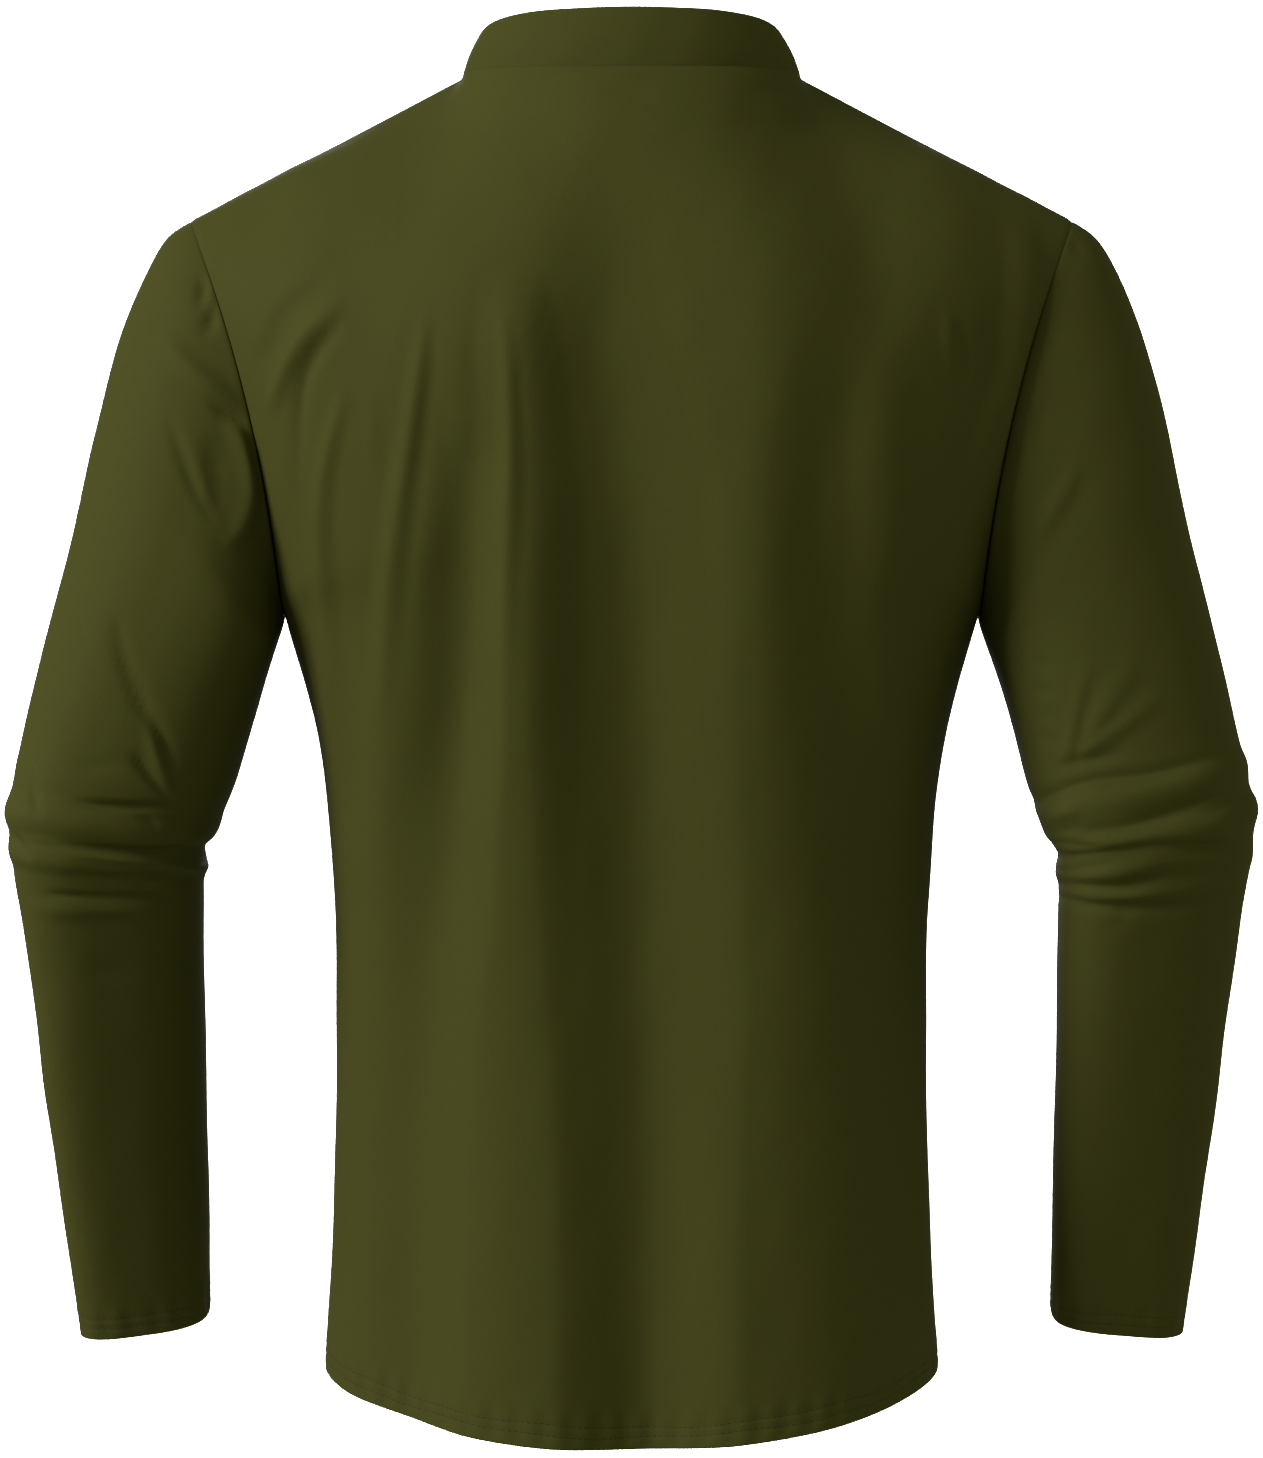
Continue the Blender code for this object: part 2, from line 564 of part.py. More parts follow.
def fit_to_seams(piece, normals):
    """Ends the piece half the seam gap from each seam, with its wall standing as its neighbour's does."""
    moved = piece.grid.copy()
    for edge in piece.edges:
        points = piece.grid[edge.place]
        normal = np.array([normals[seam_key(edge.kind, point)] for point in points])
        inward = unit(np.cross(edge_run(points, piece.closed), normal))
        wrong_way = np.sum(inward * (piece.grid[edge.beside] - points), axis=-1) < 0.0
        inward[wrong_way] *= -1.0
        moved[edge.place] += inward * SEAM_GAP / 2.0
        piece.normals[edge.place] = normal
    piece.grid = moved


def wall_faces(rows, columns, closed):
    """Faces of a closed wall: outer skin, inner skin and the edges between them."""
    inner = rows * columns
    last = columns if closed else columns - 1

    def at(row, column):
        return row * columns + column % columns

    faces = []
    for row in range(rows - 1):
        for column in range(last):
            quad = (at(row, column), at(row, column + 1), at(row + 1, column + 1), at(row + 1, column))
            faces.append(quad)
            faces.append(tuple(corner + inner for corner in reversed(quad)))
    rims = []
    for column in range(last):
        rims.append((at(0, column + 1), at(0, column)))
        rims.append((at(rows - 1, column), at(rows - 1, column + 1)))
    if not closed:
        for row in range(rows - 1):
            rims.append((at(row, 0), at(row + 1, 0)))
            rims.append((at(row + 1, columns - 1), at(row, columns - 1)))
    faces += [(a, b, b + inner, a + inner) for a, b in rims]
    return faces


def cloth_material(name, colour):
    """Matt stretch jersey."""
    material = bpy.data.materials.new(name)
    material.use_nodes = True
    shader = material.node_tree.nodes["Principled BSDF"]
    shader.inputs["Base Color"].default_value = colour
    shader.inputs["Roughness"].default_value = JERSEY_ROUGHNESS
    shader.inputs["Metallic"].default_value = 0.0
    return material


def make_wall(piece, colour):
    """The piece as one closed mesh."""
    rows, columns = piece.grid.shape[:2]
    outer = piece.grid.reshape(-1, 3)
    inner = (piece.grid - piece.normals * piece.wall).reshape(-1, 3)
    faces = wall_faces(rows, columns, piece.closed)
    if piece.outward < 0:
        faces = [tuple(reversed(face)) for face in faces]
    mesh = bpy.data.meshes.new(piece.name)
    mesh.from_pydata(np.concatenate((outer, inner)).tolist(), [], faces)
    mesh.shade_smooth()
    mesh.set_sharp_from_angle(angle=math.radians(50))
    mesh.materials.append(cloth_material(piece.name + "_jersey", colour))
    shape = bpy.data.objects.new(piece.name, mesh)
    bpy.context.scene.collection.objects.link(shape)


def shirt_pieces():
    """All the sewn pieces, with their folds."""
    back = folded(panel_grid(BACK), 1, False, BACK_FOLDS, {}, True, False)
    front = folded(panel_grid(FRONT), -1, False, {}, FRONT_FOLDS, True, False)
    right_front = {
        name: [Knot(-knot.x, knot.z, knot.half_width, knot.height) for knot in knots]
        for name, knots in SLEEVE_FRONT_FOLDS.items()
    }
    left = folded(sleeve_grid(1.0), -1, True, SLEEVE_LEFT_BACK_FOLDS, SLEEVE_FRONT_FOLDS, False, True)
    right = folded(sleeve_grid(-1.0), 1, True, SLEEVE_RIGHT_BACK_FOLDS, right_front, False, True)
    return [
        Piece("back_panel", "body", back, 1, CLOTH_WALL),
        Piece("front_panel", "body", front, -1, CLOTH_WALL),
        Piece("sleeve_left", "sleeve", left, -1, CLOTH_WALL),
        Piece("sleeve_right", "sleeve", right, 1, CLOTH_WALL),
        Piece("collar", "collar", collar_grid(), 1, COLLAR_WALL),
    ]


for leftover in list(bpy.data.objects):
    bpy.data.objects.remove(leftover)

sewn = shirt_pieces()
shared_normals = seam_normals(sewn)
for sewn_piece in sewn:
    fit_to_seams(sewn_piece, shared_normals)
    make_wall(sewn_piece, COLLAR_COLOUR if sewn_piece.name == "collar" else JERSEY_COLOUR)
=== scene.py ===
# %% [markdown]
# # A long-sleeved jersey shirt with a stand collar, seen from behind
#
# The real shirt is five pieces of thin stretch jersey: a back, a front, two sleeves and a collar band folded
# double. They are sewn edge to edge and hang in the form of a body. The frame that this script loads holds
# those five pieces as plain solids. Each is replaced here by finer cloth in the same place, with its creases,
# its seams, its turned-up hems and its rows of stitches.
#
# Everything is in metres. Up is +Z, the front of the shirt faces -Y, and the wearer's left is +X.

# %% Load the frame
import math
from collections import namedtuple

import bpy
import numpy as np
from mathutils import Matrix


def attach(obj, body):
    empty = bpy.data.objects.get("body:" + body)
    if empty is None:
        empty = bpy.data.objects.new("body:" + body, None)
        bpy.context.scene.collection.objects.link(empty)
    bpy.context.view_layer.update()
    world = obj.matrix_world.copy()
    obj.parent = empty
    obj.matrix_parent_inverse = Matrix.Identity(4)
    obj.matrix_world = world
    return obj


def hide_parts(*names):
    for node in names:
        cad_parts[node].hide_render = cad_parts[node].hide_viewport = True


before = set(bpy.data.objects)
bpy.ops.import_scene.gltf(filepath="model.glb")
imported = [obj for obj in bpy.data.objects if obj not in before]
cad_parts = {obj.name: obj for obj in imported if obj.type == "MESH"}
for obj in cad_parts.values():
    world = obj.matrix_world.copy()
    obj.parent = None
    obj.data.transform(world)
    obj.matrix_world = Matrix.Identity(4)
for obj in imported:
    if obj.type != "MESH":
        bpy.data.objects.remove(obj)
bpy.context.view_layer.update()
print("nodes of the frame:", ", ".join(sorted(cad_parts)))

# %% [markdown]
# ## The camera
#
# The picture looks level at the middle of the back, from far enough away that the sleeves hardly spread. One
# pixel of the 1263 x 1458 picture is 0.52 mm at the shirt's middle, and at 2.6 m that needs a lens of about
# 123 mm on a sensor 36 mm long.

# %% Camera
PICTURE_HEIGHT = 1458
PIXEL = 0.00052
CAMERA_DISTANCE = 2.6
CAMERA_HEIGHT = -0.3396
SENSOR = 36.0

bpy.ops.object.camera_add(
    location=(0.0, CAMERA_DISTANCE, CAMERA_HEIGHT), rotation=(math.radians(90), 0.0, math.radians(180))
)
camera = bpy.context.object
camera.name = "camera"
camera.data.sensor_width = SENSOR
camera.data.lens = SENSOR * CAMERA_DISTANCE / (PICTURE_HEIGHT * PIXEL)
bpy.context.scene.camera = camera
print(f"lens {camera.data.lens:.1f} mm")

# %% [markdown]
# ## Sizes of the cloth
#
# A garment's form can be drawn with few numbers: where its seams run, how wide and deep it is at a few
# heights, and the path of its hem and neck. These are the sizes of the frame's own solids, so that the fine
# cloth lies on them. Only the sleeves are turned a little away from theirs.

# %% Sizes of the body and the collar
CLOTH_WALL = 0.0011
COLLAR_WALL = 0.0026

NECK_POINT = np.array((0.0880, 0.0, -0.0010))
SHOULDER_TIP = np.array((0.2288, 0.0, -0.0755))
ARMPIT = np.array((0.1800, 0.0, -0.2810))
ARMHOLE_DEPTH = 0.060
ARMHOLE_SCOOP = 0.0095
ARMHOLE_TURN = math.radians(48)

HEM_SIDE = -0.6710
HEM_DROP_BACK = 0.0300
HEM_DROP_FRONT = 0.0200
HEM_ROUND = 0.75
HEM_FADE = 1.5  # power with which the hem's drop fades up the body

NECK_BACK = np.array((0.0, 0.0640, -0.0030))
NECK_FRONT = np.array((0.0, -0.0850, -0.0450))
NECK_TILT = 0.004
COLLAR_TOP_SIDE = np.array((0.0785, 0.0, 0.0187))
COLLAR_TOP_BACK = np.array((0.0, 0.0570, 0.0285))
COLLAR_TOP_FRONT = np.array((0.0, -0.0780, -0.0120))
COLLAR_TILT = 0.019
COLLAR_SWELL = 0.0015
NECK_REACH = 0.070
NECK_RISE_SIDE = 0.50
NECK_RISE_MIDDLE = 1.10

BACK = 1
FRONT = -1

# The body at a few heights, measured at the side seam, from the hem up
Level = namedtuple("Level", "height half_width back front fullness")
BODY = (
    Level(-0.720, 0.1600, 0.107, 0.094, 0.60),
    Level(-0.671, 0.1590, 0.106, 0.096, 0.60),
    Level(-0.600, 0.1555, 0.103, 0.098, 0.60),
    Level(-0.500, 0.1534, 0.100, 0.100, 0.60),
    Level(-0.428, 0.1544, 0.102, 0.104, 0.60),
    Level(-0.376, 0.1583, 0.106, 0.109, 0.61),
    Level(-0.335, 0.1648, 0.110, 0.114, 0.62),
    Level(-0.281, 0.1800, 0.115, 0.121, 0.62),
    Level(-0.220, 0.1900, 0.119, 0.125, 0.62),
    Level(-0.150, 0.2000, 0.117, 0.119, 0.62),
    Level(-0.100, 0.2100, 0.109, 0.108, 0.62),
)
print(f"{len(BODY)} heights, {HEM_SIDE - HEM_DROP_BACK:.3f} to {NECK_POINT[2]:.3f} m")

# %% [markdown]
# A sleeve is a tube that changes all the way down, so it is drawn as ribs: ovals from an outer point to an
# inner point, with a depth behind and before their own middle. A turn swings an oval so that its back faces
# outwards, or inwards below 0, for each sleeve by itself. A corner below 1 makes it squarer, as cloth hanging
# off an arm is. Many ribs sit close together at the elbow, where the outline bends.

# %% Sizes of the sleeve
Rib = namedtuple(
    "Rib", "outer_x outer_z inner_x inner_z back front shift lean scoop left_turn right_turn corner rows"
)
SLEEVE = (
    Rib(0.2288, -0.0755, 0.1800, -0.2810, 0.0600, 0.0600, 0.0000, 0.00, 0.0095, 0.0000, 0.0000, 1.00, 7),
    Rib(0.2418, -0.0852, 0.1806, -0.2836, 0.0610, 0.0605, 0.0010, 0.00, 0.0070, 0.0020, 0.0010, 0.98, 7),
    Rib(0.2526, -0.1030, 0.1812, -0.2866, 0.0620, 0.0605, 0.0020, 0.00, 0.0045, 0.0040, 0.0020, 0.95, 7),
    Rib(0.2619, -0.1253, 0.1820, -0.2897, 0.0625, 0.0600, 0.0030, 0.00, 0.0020, 0.0060, 0.0032, 0.91, 7),
    Rib(0.2707, -0.1532, 0.1830, -0.2932, 0.0620, 0.0595, 0.0040, 0.00, 0.0005, 0.0080, 0.0045, 0.87, 7),
    Rib(0.2782, -0.1842, 0.1841, -0.2972, 0.0610, 0.0590, 0.0060, 0.00, 0.0000, 0.0090, 0.0058, 0.84, 7),
    Rib(0.2860, -0.2214, 0.1856, -0.3017, 0.0600, 0.0585, 0.0070, 0.00, 0.0000, 0.0080, 0.0070, 0.82, 7),
    Rib(0.2951, -0.2616, 0.1883, -0.3102, 0.0585, 0.0580, 0.0090, 0.00, 0.0000, 0.0050, 0.0079, 0.80, 7),
    Rib(0.3026, -0.2928, 0.1920, -0.3226, 0.0575, 0.0570, 0.0110, 0.00, 0.0000, 0.0010, 0.0088, 0.80, 10),
    Rib(0.3102, -0.3239, 0.1986, -0.3470, 0.0560, 0.0560, 0.0140, 0.00, 0.0000, -0.0040, 0.0096, 0.80, 10),
    Rib(0.3150, -0.3453, 0.2035, -0.3659, 0.0550, 0.0550, 0.0160, 0.00, 0.0000, -0.0080, 0.0099, 0.80, 10),
    Rib(0.3182, -0.3591, 0.2070, -0.3764, 0.0550, 0.0550, 0.0180, 0.00, 0.0000, -0.0100, 0.0101, 0.80, 10),
    Rib(0.3199, -0.3701, 0.2104, -0.3848, 0.0545, 0.0550, 0.0190, 0.00, 0.0000, -0.0110, 0.0102, 0.80, 10),
    Rib(0.3227, -0.3832, 0.2142, -0.3933, 0.0540, 0.0545, 0.0210, 0.01, 0.0000, -0.0120, 0.0103, 0.80, 10),
    Rib(0.3212, -0.3932, 0.2183, -0.3998, 0.0530, 0.0540, 0.0205, 0.02, 0.0000, -0.0130, 0.0105, 0.79, 10),
    Rib(0.3201, -0.4052, 0.2196, -0.4088, 0.0520, 0.0530, 0.0180, 0.04, 0.0000, -0.0130, 0.0105, 0.78, 10),
    Rib(0.3187, -0.4183, 0.2201, -0.4189, 0.0505, 0.0520, 0.0145, 0.06, 0.0000, -0.0130, 0.0105, 0.76, 10),
    Rib(0.3165, -0.4334, 0.2203, -0.4310, 0.0490, 0.0505, 0.0105, 0.08, 0.0000, -0.0130, 0.0105, 0.74, 8),
    Rib(0.3136, -0.4586, 0.2207, -0.4532, 0.0465, 0.0480, 0.0035, 0.10, 0.0000, -0.0130, 0.0105, 0.72, 7),
    Rib(0.3101, -0.4910, 0.2210, -0.4840, 0.0440, 0.0450, -0.0055, 0.12, 0.0000, -0.0130, 0.0102, 0.70, 6),
    Rib(0.3073, -0.5236, 0.2213, -0.5160, 0.0415, 0.0425, -0.0150, 0.13, 0.0000, -0.0120, 0.0093, 0.70, 6),
    Rib(0.3036, -0.5583, 0.2215, -0.5503, 0.0390, 0.0400, -0.0255, 0.14, 0.0000, -0.0110, 0.0084, 0.70, 6),
    Rib(0.2995, -0.5963, 0.2216, -0.5876, 0.0360, 0.0370, -0.0370, 0.15, 0.0000, -0.0100, 0.0072, 0.70, 6),
    Rib(0.2958, -0.6313, 0.2220, -0.6231, 0.0335, 0.0345, -0.0475, 0.15, 0.0000, -0.0090, 0.0063, 0.70, 20),
    Rib(0.2933, -0.6574, 0.2226, -0.6500, 0.0325, 0.0330, -0.0555, 0.15, 0.0000, -0.0080, 0.0059, 0.70, 0),
)
print(f"{len(SLEEVE)} ribs in {sum(rib.rows for rib in SLEEVE)} rows of points")

# %% [markdown]
# ## From sizes to grids of points
#
# A cloth surface is easiest to handle as a grid: rows of points across the piece and columns along it. Thin
# wrinkles need points 1 to 3 mm apart across them, and long folds need fewer along them. Where two pieces
# meet, both count their points in multiples of one number, so that the points match along the seam.

# %% How fine the grids are
FINER = 7
SHOULDER_COLUMNS = 9 * FINER
NECK_COLUMNS = 7 * FINER
HALF_COLUMNS = SHOULDER_COLUMNS + NECK_COLUMNS
HEM_ROWS = 20
HEM_ZONE = 0.065  # the share of the side seam in which the hem's own rows lie
SIDE_ROWS = 78
LOWER_ARMHOLE_ROWS = 7 * FINER
UPPER_ARMHOLE_ROWS = 5 * FINER
ARMHOLE_ROWS = LOWER_ARMHOLE_ROWS + UPPER_ARMHOLE_ROWS
SLEEVE_COLUMNS = 2 * ARMHOLE_ROWS
COLLAR_ROWS = 18
NECK_BLEND = 4 * FINER
ARMHOLE_PULL = 4  # power with which the armhole's pull on a row fades towards the middle
YOKE_EASED_ROWS = 2 * FINER  # how far below the shoulder rows the easing begins
YOKE_EASING_FADE = 3.0 * FINER
YOKE_EASED_COLUMNS = 6 * FINER
YOKE_EASING = 8 * FINER**2
ARMPIT_EASED_ROWS = 14
ARMPIT_REACH = 1.3  # the easing is full at the sides and fades towards the middle
ARMPIT_EASING = 90
CURVE_POINTS = 241  # points on a curve across a panel before they are spaced evenly
RING_POINTS = 181  # and on a quarter of a neck ring
print(f"a panel is {2 * HALF_COLUMNS + 1} points wide, a sleeve {SLEEVE_COLUMNS} round")


# %% Curves
def unit(vectors):
    """Vectors made one long."""
    return vectors / np.linalg.norm(vectors, axis=-1, keepdims=True)


def smooth_step(value):
    """0 to 1 with level ends."""
    value = np.clip(value, 0.0, 1.0)
    return value * value * (3.0 - 2.0 * value)


def hermite(start, end, start_slope, end_slope, t):
    """Cubic from start to end with the given slopes."""
    away = 2.0 * t**3 - 3.0 * t**2 + 1.0
    leaving = t**3 - 2.0 * t**2 + t
    arriving = t**3 - t**2
    return away * start + (1.0 - away) * end + leaving * start_slope + arriving * end_slope


def curve_through(places, values, at):
    """Smooth curve through values given at rising places, read at one place."""
    slopes = np.gradient(values, places, axis=0)
    i = int(np.clip(np.searchsorted(places, at) - 1, 0, len(places) - 2))
    span = places[i + 1] - places[i]
    t = (at - places[i]) / span
    return hermite(values[i], values[i + 1], slopes[i] * span, slopes[i + 1] * span, t)


def distances(grid, axis):
    """How far each point is from the start of its line, along the cloth."""
    steps = np.linalg.norm(np.diff(grid, axis=axis), axis=-1)
    start = np.zeros_like(np.take(steps, [0], axis=axis))
    return np.concatenate((start, np.cumsum(steps, axis=axis)), axis=axis)


def read_along(at, along, values):
    """The columns of values, given at distances along a line, read at other distances."""
    return np.stack([np.interp(at, along, column) for column in values.T], axis=1)


def even_points(points, count):
    """Count + 1 points evenly spaced along a curve given by many points."""
    along = distances(points, 0)
    return read_along(np.linspace(0.0, along[-1], count + 1), along, points)


WAIST = -0.45
waist_level = curve_through(np.array(BODY)[:, 0], np.array(BODY)[:, 1:], WAIST)
print(f"half width at the waist: {waist_level[0]:.4f} m")

# %% [markdown]
# The back and the front are each swept from the side seam to the middle line. Above the armpit a row ends on
# the armhole instead, and the last rows run over the shoulder to the shoulder seam and the neck seam.


# %% Rows of the back and the front
def depth_at(height, side):
    """Half width, depth on one side and fullness of the body at a height."""
    table = np.array(BODY)
    half_width, back, front, fullness = curve_through(table[:, 0], table[:, 1:], height)
    return half_width, back if side == BACK else front, fullness


def swept(edge, middle, turn, fullness, side):
    """Points from a panel's edge to its middle line. The curve leaves the edge straight back or forward,
    turned towards the middle, and crosses the middle line square on."""
    reach = fullness * abs(middle[1] - edge[1]) / math.cos(turn)
    leaving = edge + reach * np.array((-math.sin(turn), side * math.cos(turn), 0.0))
    arriving = middle + np.array((fullness * edge[0], 0.0, 0.0))
    t = np.linspace(0.0, 1.0, CURVE_POINTS)[:, None]
    s = 1.0 - t
    return s**3 * edge + 3.0 * s**2 * t * leaving + 3.0 * s * t**2 * arriving + t**3 * middle


def armhole_point(angle, side):
    """Point on the left armhole, from -90 degrees at the armpit to 90 at the shoulder tip."""
    middle = (SHOULDER_TIP + ARMPIT) / 2.0
    reach = (SHOULDER_TIP - ARMPIT) / 2.0
    across = np.array((-ARMHOLE_SCOOP * math.cos(angle) ** 2, side * ARMHOLE_DEPTH * math.cos(angle), 0.0))
    return middle + reach * math.sin(angle) + across


def side_row(up, side):
    """Half of a row at a share of the way up from the hem to the armpit."""
    height = HEM_SIDE + (ARMPIT[2] - HEM_SIDE) * up
    half_width, depth, fullness = depth_at(height, side)
    drop = (HEM_DROP_BACK if side == BACK else HEM_DROP_FRONT) * (1.0 - up) ** HEM_FADE
    row = swept(
        np.array((half_width, 0.0, height)), np.array((0.0, side * depth, height)), 0.0, fullness, side
    )
    row[:, 2] -= drop * (1.0 - np.clip(row[:, 0] / half_width, 0.0, 1.0) ** 2) ** HEM_ROUND
    return even_points(row, HALF_COLUMNS)


def lower_armhole_row(step, side):
    """Half of a row that ends on the armhole, up to where the shoulder begins to round over."""
    edge = armhole_point(-math.pi / 2.0 + math.pi * step / ARMHOLE_ROWS, side)
    neck = NECK_BACK if side == BACK else NECK_FRONT
    height = ARMPIT[2] + (neck[2] - ARMPIT[2]) * step / ARMHOLE_ROWS
    half_width, depth, fullness = depth_at(height, side)
    turn = ARMHOLE_TURN * smooth_step(step / LOWER_ARMHOLE_ROWS)
    middle = np.array((0.0, side * depth, height))
    return even_points(swept(edge, middle, turn, fullness, side), HALF_COLUMNS)


hem_line = side_row(0.0, BACK)
print(f"half of the back hem is {np.linalg.norm(np.diff(hem_line, axis=0), axis=1).sum() * 1000:.0f} mm long")

# %% [markdown]
# The neck seam and the top of the collar are rings that lean back. The yoke, the cloth over the shoulders,
# has to turn from the shoulder seam's direction into the neck's, and is then eased by averaging each point
# with its neighbours, as a presser shrinks fullness away with steam.


# %% Neck, shoulders and whole panels
def neck_ring(side_point, back, front, tilt, angle):
    """Point on a ring round the neck, 90 degrees at the back, -90 at the front and 0 at the left side."""
    lean = math.sin(angle)
    end = back if lean >= 0.0 else front
    sag = (end[2] - side_point[2]) - tilt * np.sign(lean)
    height = side_point[2] + tilt * lean + sag * lean * lean
    return np.array((side_point[0] * math.cos(angle), end[1] * abs(lean), height))


def neck_curve(side_point, back, front, tilt, side):
    """Points on a quarter of a neck ring, from the left side to the middle, evenly spaced."""
    angles = np.linspace(0.0, side * math.pi / 2.0, RING_POINTS)
    points = np.array([neck_ring(side_point, back, front, tilt, angle) for angle in angles])
    return even_points(points, NECK_COLUMNS)


def top_row(side):
    """Half of a panel's top edge: along the shoulder seam, then round the neck seam to the middle."""
    shoulder = np.linspace(SHOULDER_TIP, NECK_POINT, SHOULDER_COLUMNS + 1)
    return np.concatenate((shoulder, neck_curve(NECK_POINT, NECK_BACK, NECK_FRONT, NECK_TILT, side)[1:]))


def ways_over_the_top(top, last, span):
    """Directions in which the columns reach the top edge: straight over at the shoulder, and square to the
    neck seam round the neck."""
    over = np.zeros_like(top)
    over[:, 1] = (top[:, 1] - last[:, 1]) * span
    depth = abs(top[-1, 1])
    level = np.zeros(len(top))
    outward = unit(np.stack((top[:, 0] / NECK_POINT[0] ** 2, top[:, 1] / depth**2, level), axis=1))
    inward = -outward * NECK_REACH
    rise = NECK_RISE_SIDE + (NECK_RISE_MIDDLE - NECK_RISE_SIDE) * np.abs(top[:, 1]) / depth
    inward[:, 2] = rise * NECK_REACH
    blend = smooth_step((np.arange(len(top)) - SHOULDER_COLUMNS + NECK_BLEND) / (2 * NECK_BLEND))[:, None]
    return over * (1.0 - blend) + inward * blend


def shoulder_rows(below, last, side):
    """Half rows from the last armhole row over the shoulder to the top edge."""
    top = top_row(side)
    leave = (last - below) * UPPER_ARMHOLE_ROWS
    arrive = ways_over_the_top(top, last, math.pi / ARMHOLE_ROWS * UPPER_ARMHOLE_ROWS)
    fade = (1.0 - np.arange(HALF_COLUMNS + 1) / HALF_COLUMNS)[:, None] ** ARMHOLE_PULL
    rows = []
    for step in range(1, UPPER_ARMHOLE_ROWS + 1):
        row = hermite(last, top, leave, arrive, step / UPPER_ARMHOLE_ROWS)
        angle = math.pi / 2.0 - (UPPER_ARMHOLE_ROWS - step) * math.pi / ARMHOLE_ROWS
        rows.append(row + (armhole_point(angle, side) - row[0]) * fade)
    return rows


def eased(grid, by_row, by_column, times):
    """The grid with its inner points moved part of the way to the middle of their neighbours, many times."""
    amount = by_row[1:-1, None, None] * by_column[None, 1:-1, None] / 2.0
    grid = grid.copy()
    for _ in range(times):
        mean = (grid[:-2, 1:-1] + grid[2:, 1:-1] + grid[1:-1, :-2] + grid[1:-1, 2:]) / 4.0
        grid[1:-1, 1:-1] += (mean - grid[1:-1, 1:-1]) * amount
    return grid


def eased_at_neck_points(grid):
    """The grid with its points below the two neck points eased."""
    start = len(grid) - 1 - UPPER_ARMHOLE_ROWS - YOKE_EASED_ROWS
    by_row = smooth_step(np.arange(len(grid) - start) / YOKE_EASING_FADE)
    away = np.abs(np.abs(np.arange(grid.shape[1]) - HALF_COLUMNS) - NECK_COLUMNS) / YOKE_EASED_COLUMNS
    return np.concatenate((grid[:start], eased(grid[start:], by_row, smooth_step(1.0 - away), YOKE_EASING)))


def panel_grid(side):
    """Rows of points over the back or the front, from the hem to the shoulders and neck."""
    hem_ups = np.linspace(0.0, HEM_ZONE, HEM_ROWS, endpoint=False)
    side_ups = np.linspace(HEM_ZONE, 1.0, SIDE_ROWS)
    rows = [side_row(up, side) for up in (*hem_ups, *side_ups)]
    rows += [lower_armhole_row(step, side) for step in range(1, LOWER_ARMHOLE_ROWS + 1)]
    rows += shoulder_rows(rows[-2], rows[-1], side)
    whole = [np.concatenate((half, (half * (-1.0, 1.0, 1.0))[-2::-1])) for half in rows]
    return eased_at_neck_points(np.array(whole))


def eased_at_armpits(grid):
    """The grid with the bend eased where the rows begin to end on the armholes."""
    armpit = HEM_ROWS + SIDE_ROWS - 1
    by_row = smooth_step(1.0 - np.abs(np.arange(len(grid)) - armpit) / ARMPIT_EASED_ROWS)
    from_side = HALF_COLUMNS - np.abs(np.arange(grid.shape[1]) - HALF_COLUMNS)
    return eased(grid, by_row, smooth_step(ARMPIT_REACH - from_side / HALF_COLUMNS), ARMPIT_EASING)


plain_back = eased_at_armpits(panel_grid(BACK))
plain_front = eased_at_armpits(panel_grid(FRONT))
print("back grid", plain_back.shape[:2], "front grid", plain_front.shape[:2])


# %% Rings of the sleeves and the collar
TURN_DRAW = 0.22  # an oval turned inwards is a little narrower, for the same width from behind


def rib_ring(rib, side):
    """Ring of points on one rib, starting at its outer point and going round by the back."""
    turn = rib.left_turn if side > 0.0 else rib.right_turn
    angles = np.arange(SLEEVE_COLUMNS) * 2.0 * math.pi / SLEEVE_COLUMNS
    circle = (np.cos(angles), np.sin(angles))
    along, across = (np.sign(share) * np.abs(share) ** rib.corner for share in circle)
    drawn_in = TURN_DRAW * min(turn, 0.0)
    outer = np.array((rib.outer_x + drawn_in, rib.shift - turn, rib.outer_z))
    inner = np.array((rib.inner_x - drawn_in, rib.shift + turn, rib.inner_z))
    ring = (outer + inner) / 2.0 + along[:, None] * (outer - inner) / 2.0
    back = across * np.where(across > 0.0, rib.back, rib.front)
    ring[:, 0] -= rib.scoop * across**2
    ring[:, 1] += back
    ring[:, 2] -= rib.lean * back
    return ring


def sleeve_grid(side):
    """Rings of points down the left sleeve, 1, or the right one, -1, from the armhole to the cuff."""
    table = np.array(SLEEVE)[:, :-1]
    rings = []
    for place, rib in enumerate(SLEEVE):
        for step in range(rib.rows):
            measures = curve_through(np.arange(len(SLEEVE)), table, place + step / rib.rows)
            rings.append(rib_ring(Rib(*measures, 0), side))
    rings.append(rib_ring(SLEEVE[-1], side))
    return np.array(rings) * (side, 1.0, 1.0)


def collar_grid():
    """Rings of points up the collar, from the neck seam to its folded top edge."""
    rings = []
    for up in np.linspace(0.0, 1.0, COLLAR_ROWS + 1):
        quarters = []
        for side in (BACK, FRONT):
            low = neck_curve(NECK_POINT, NECK_BACK, NECK_FRONT, NECK_TILT, side)
            high = neck_curve(COLLAR_TOP_SIDE, COLLAR_TOP_BACK, COLLAR_TOP_FRONT, COLLAR_TILT, side)
            quarter = low + (high - low) * up
            quarters.append(quarter + unit(quarter * (1.0, 1.0, 0.0)) * COLLAR_SWELL * math.sin(math.pi * up))
        back, front = quarters
        other = (-1.0, 1.0, 1.0)
        rings.append(np.concatenate((back, back[-2::-1] * other, front[1:] * other, front[-2:0:-1])))
    return np.array(rings)


plain_left = sleeve_grid(1.0)
plain_right = sleeve_grid(-1.0)
plain_collar = collar_grid()
print("sleeve grids", plain_left.shape[:2], "collar grid", plain_collar.shape[:2])

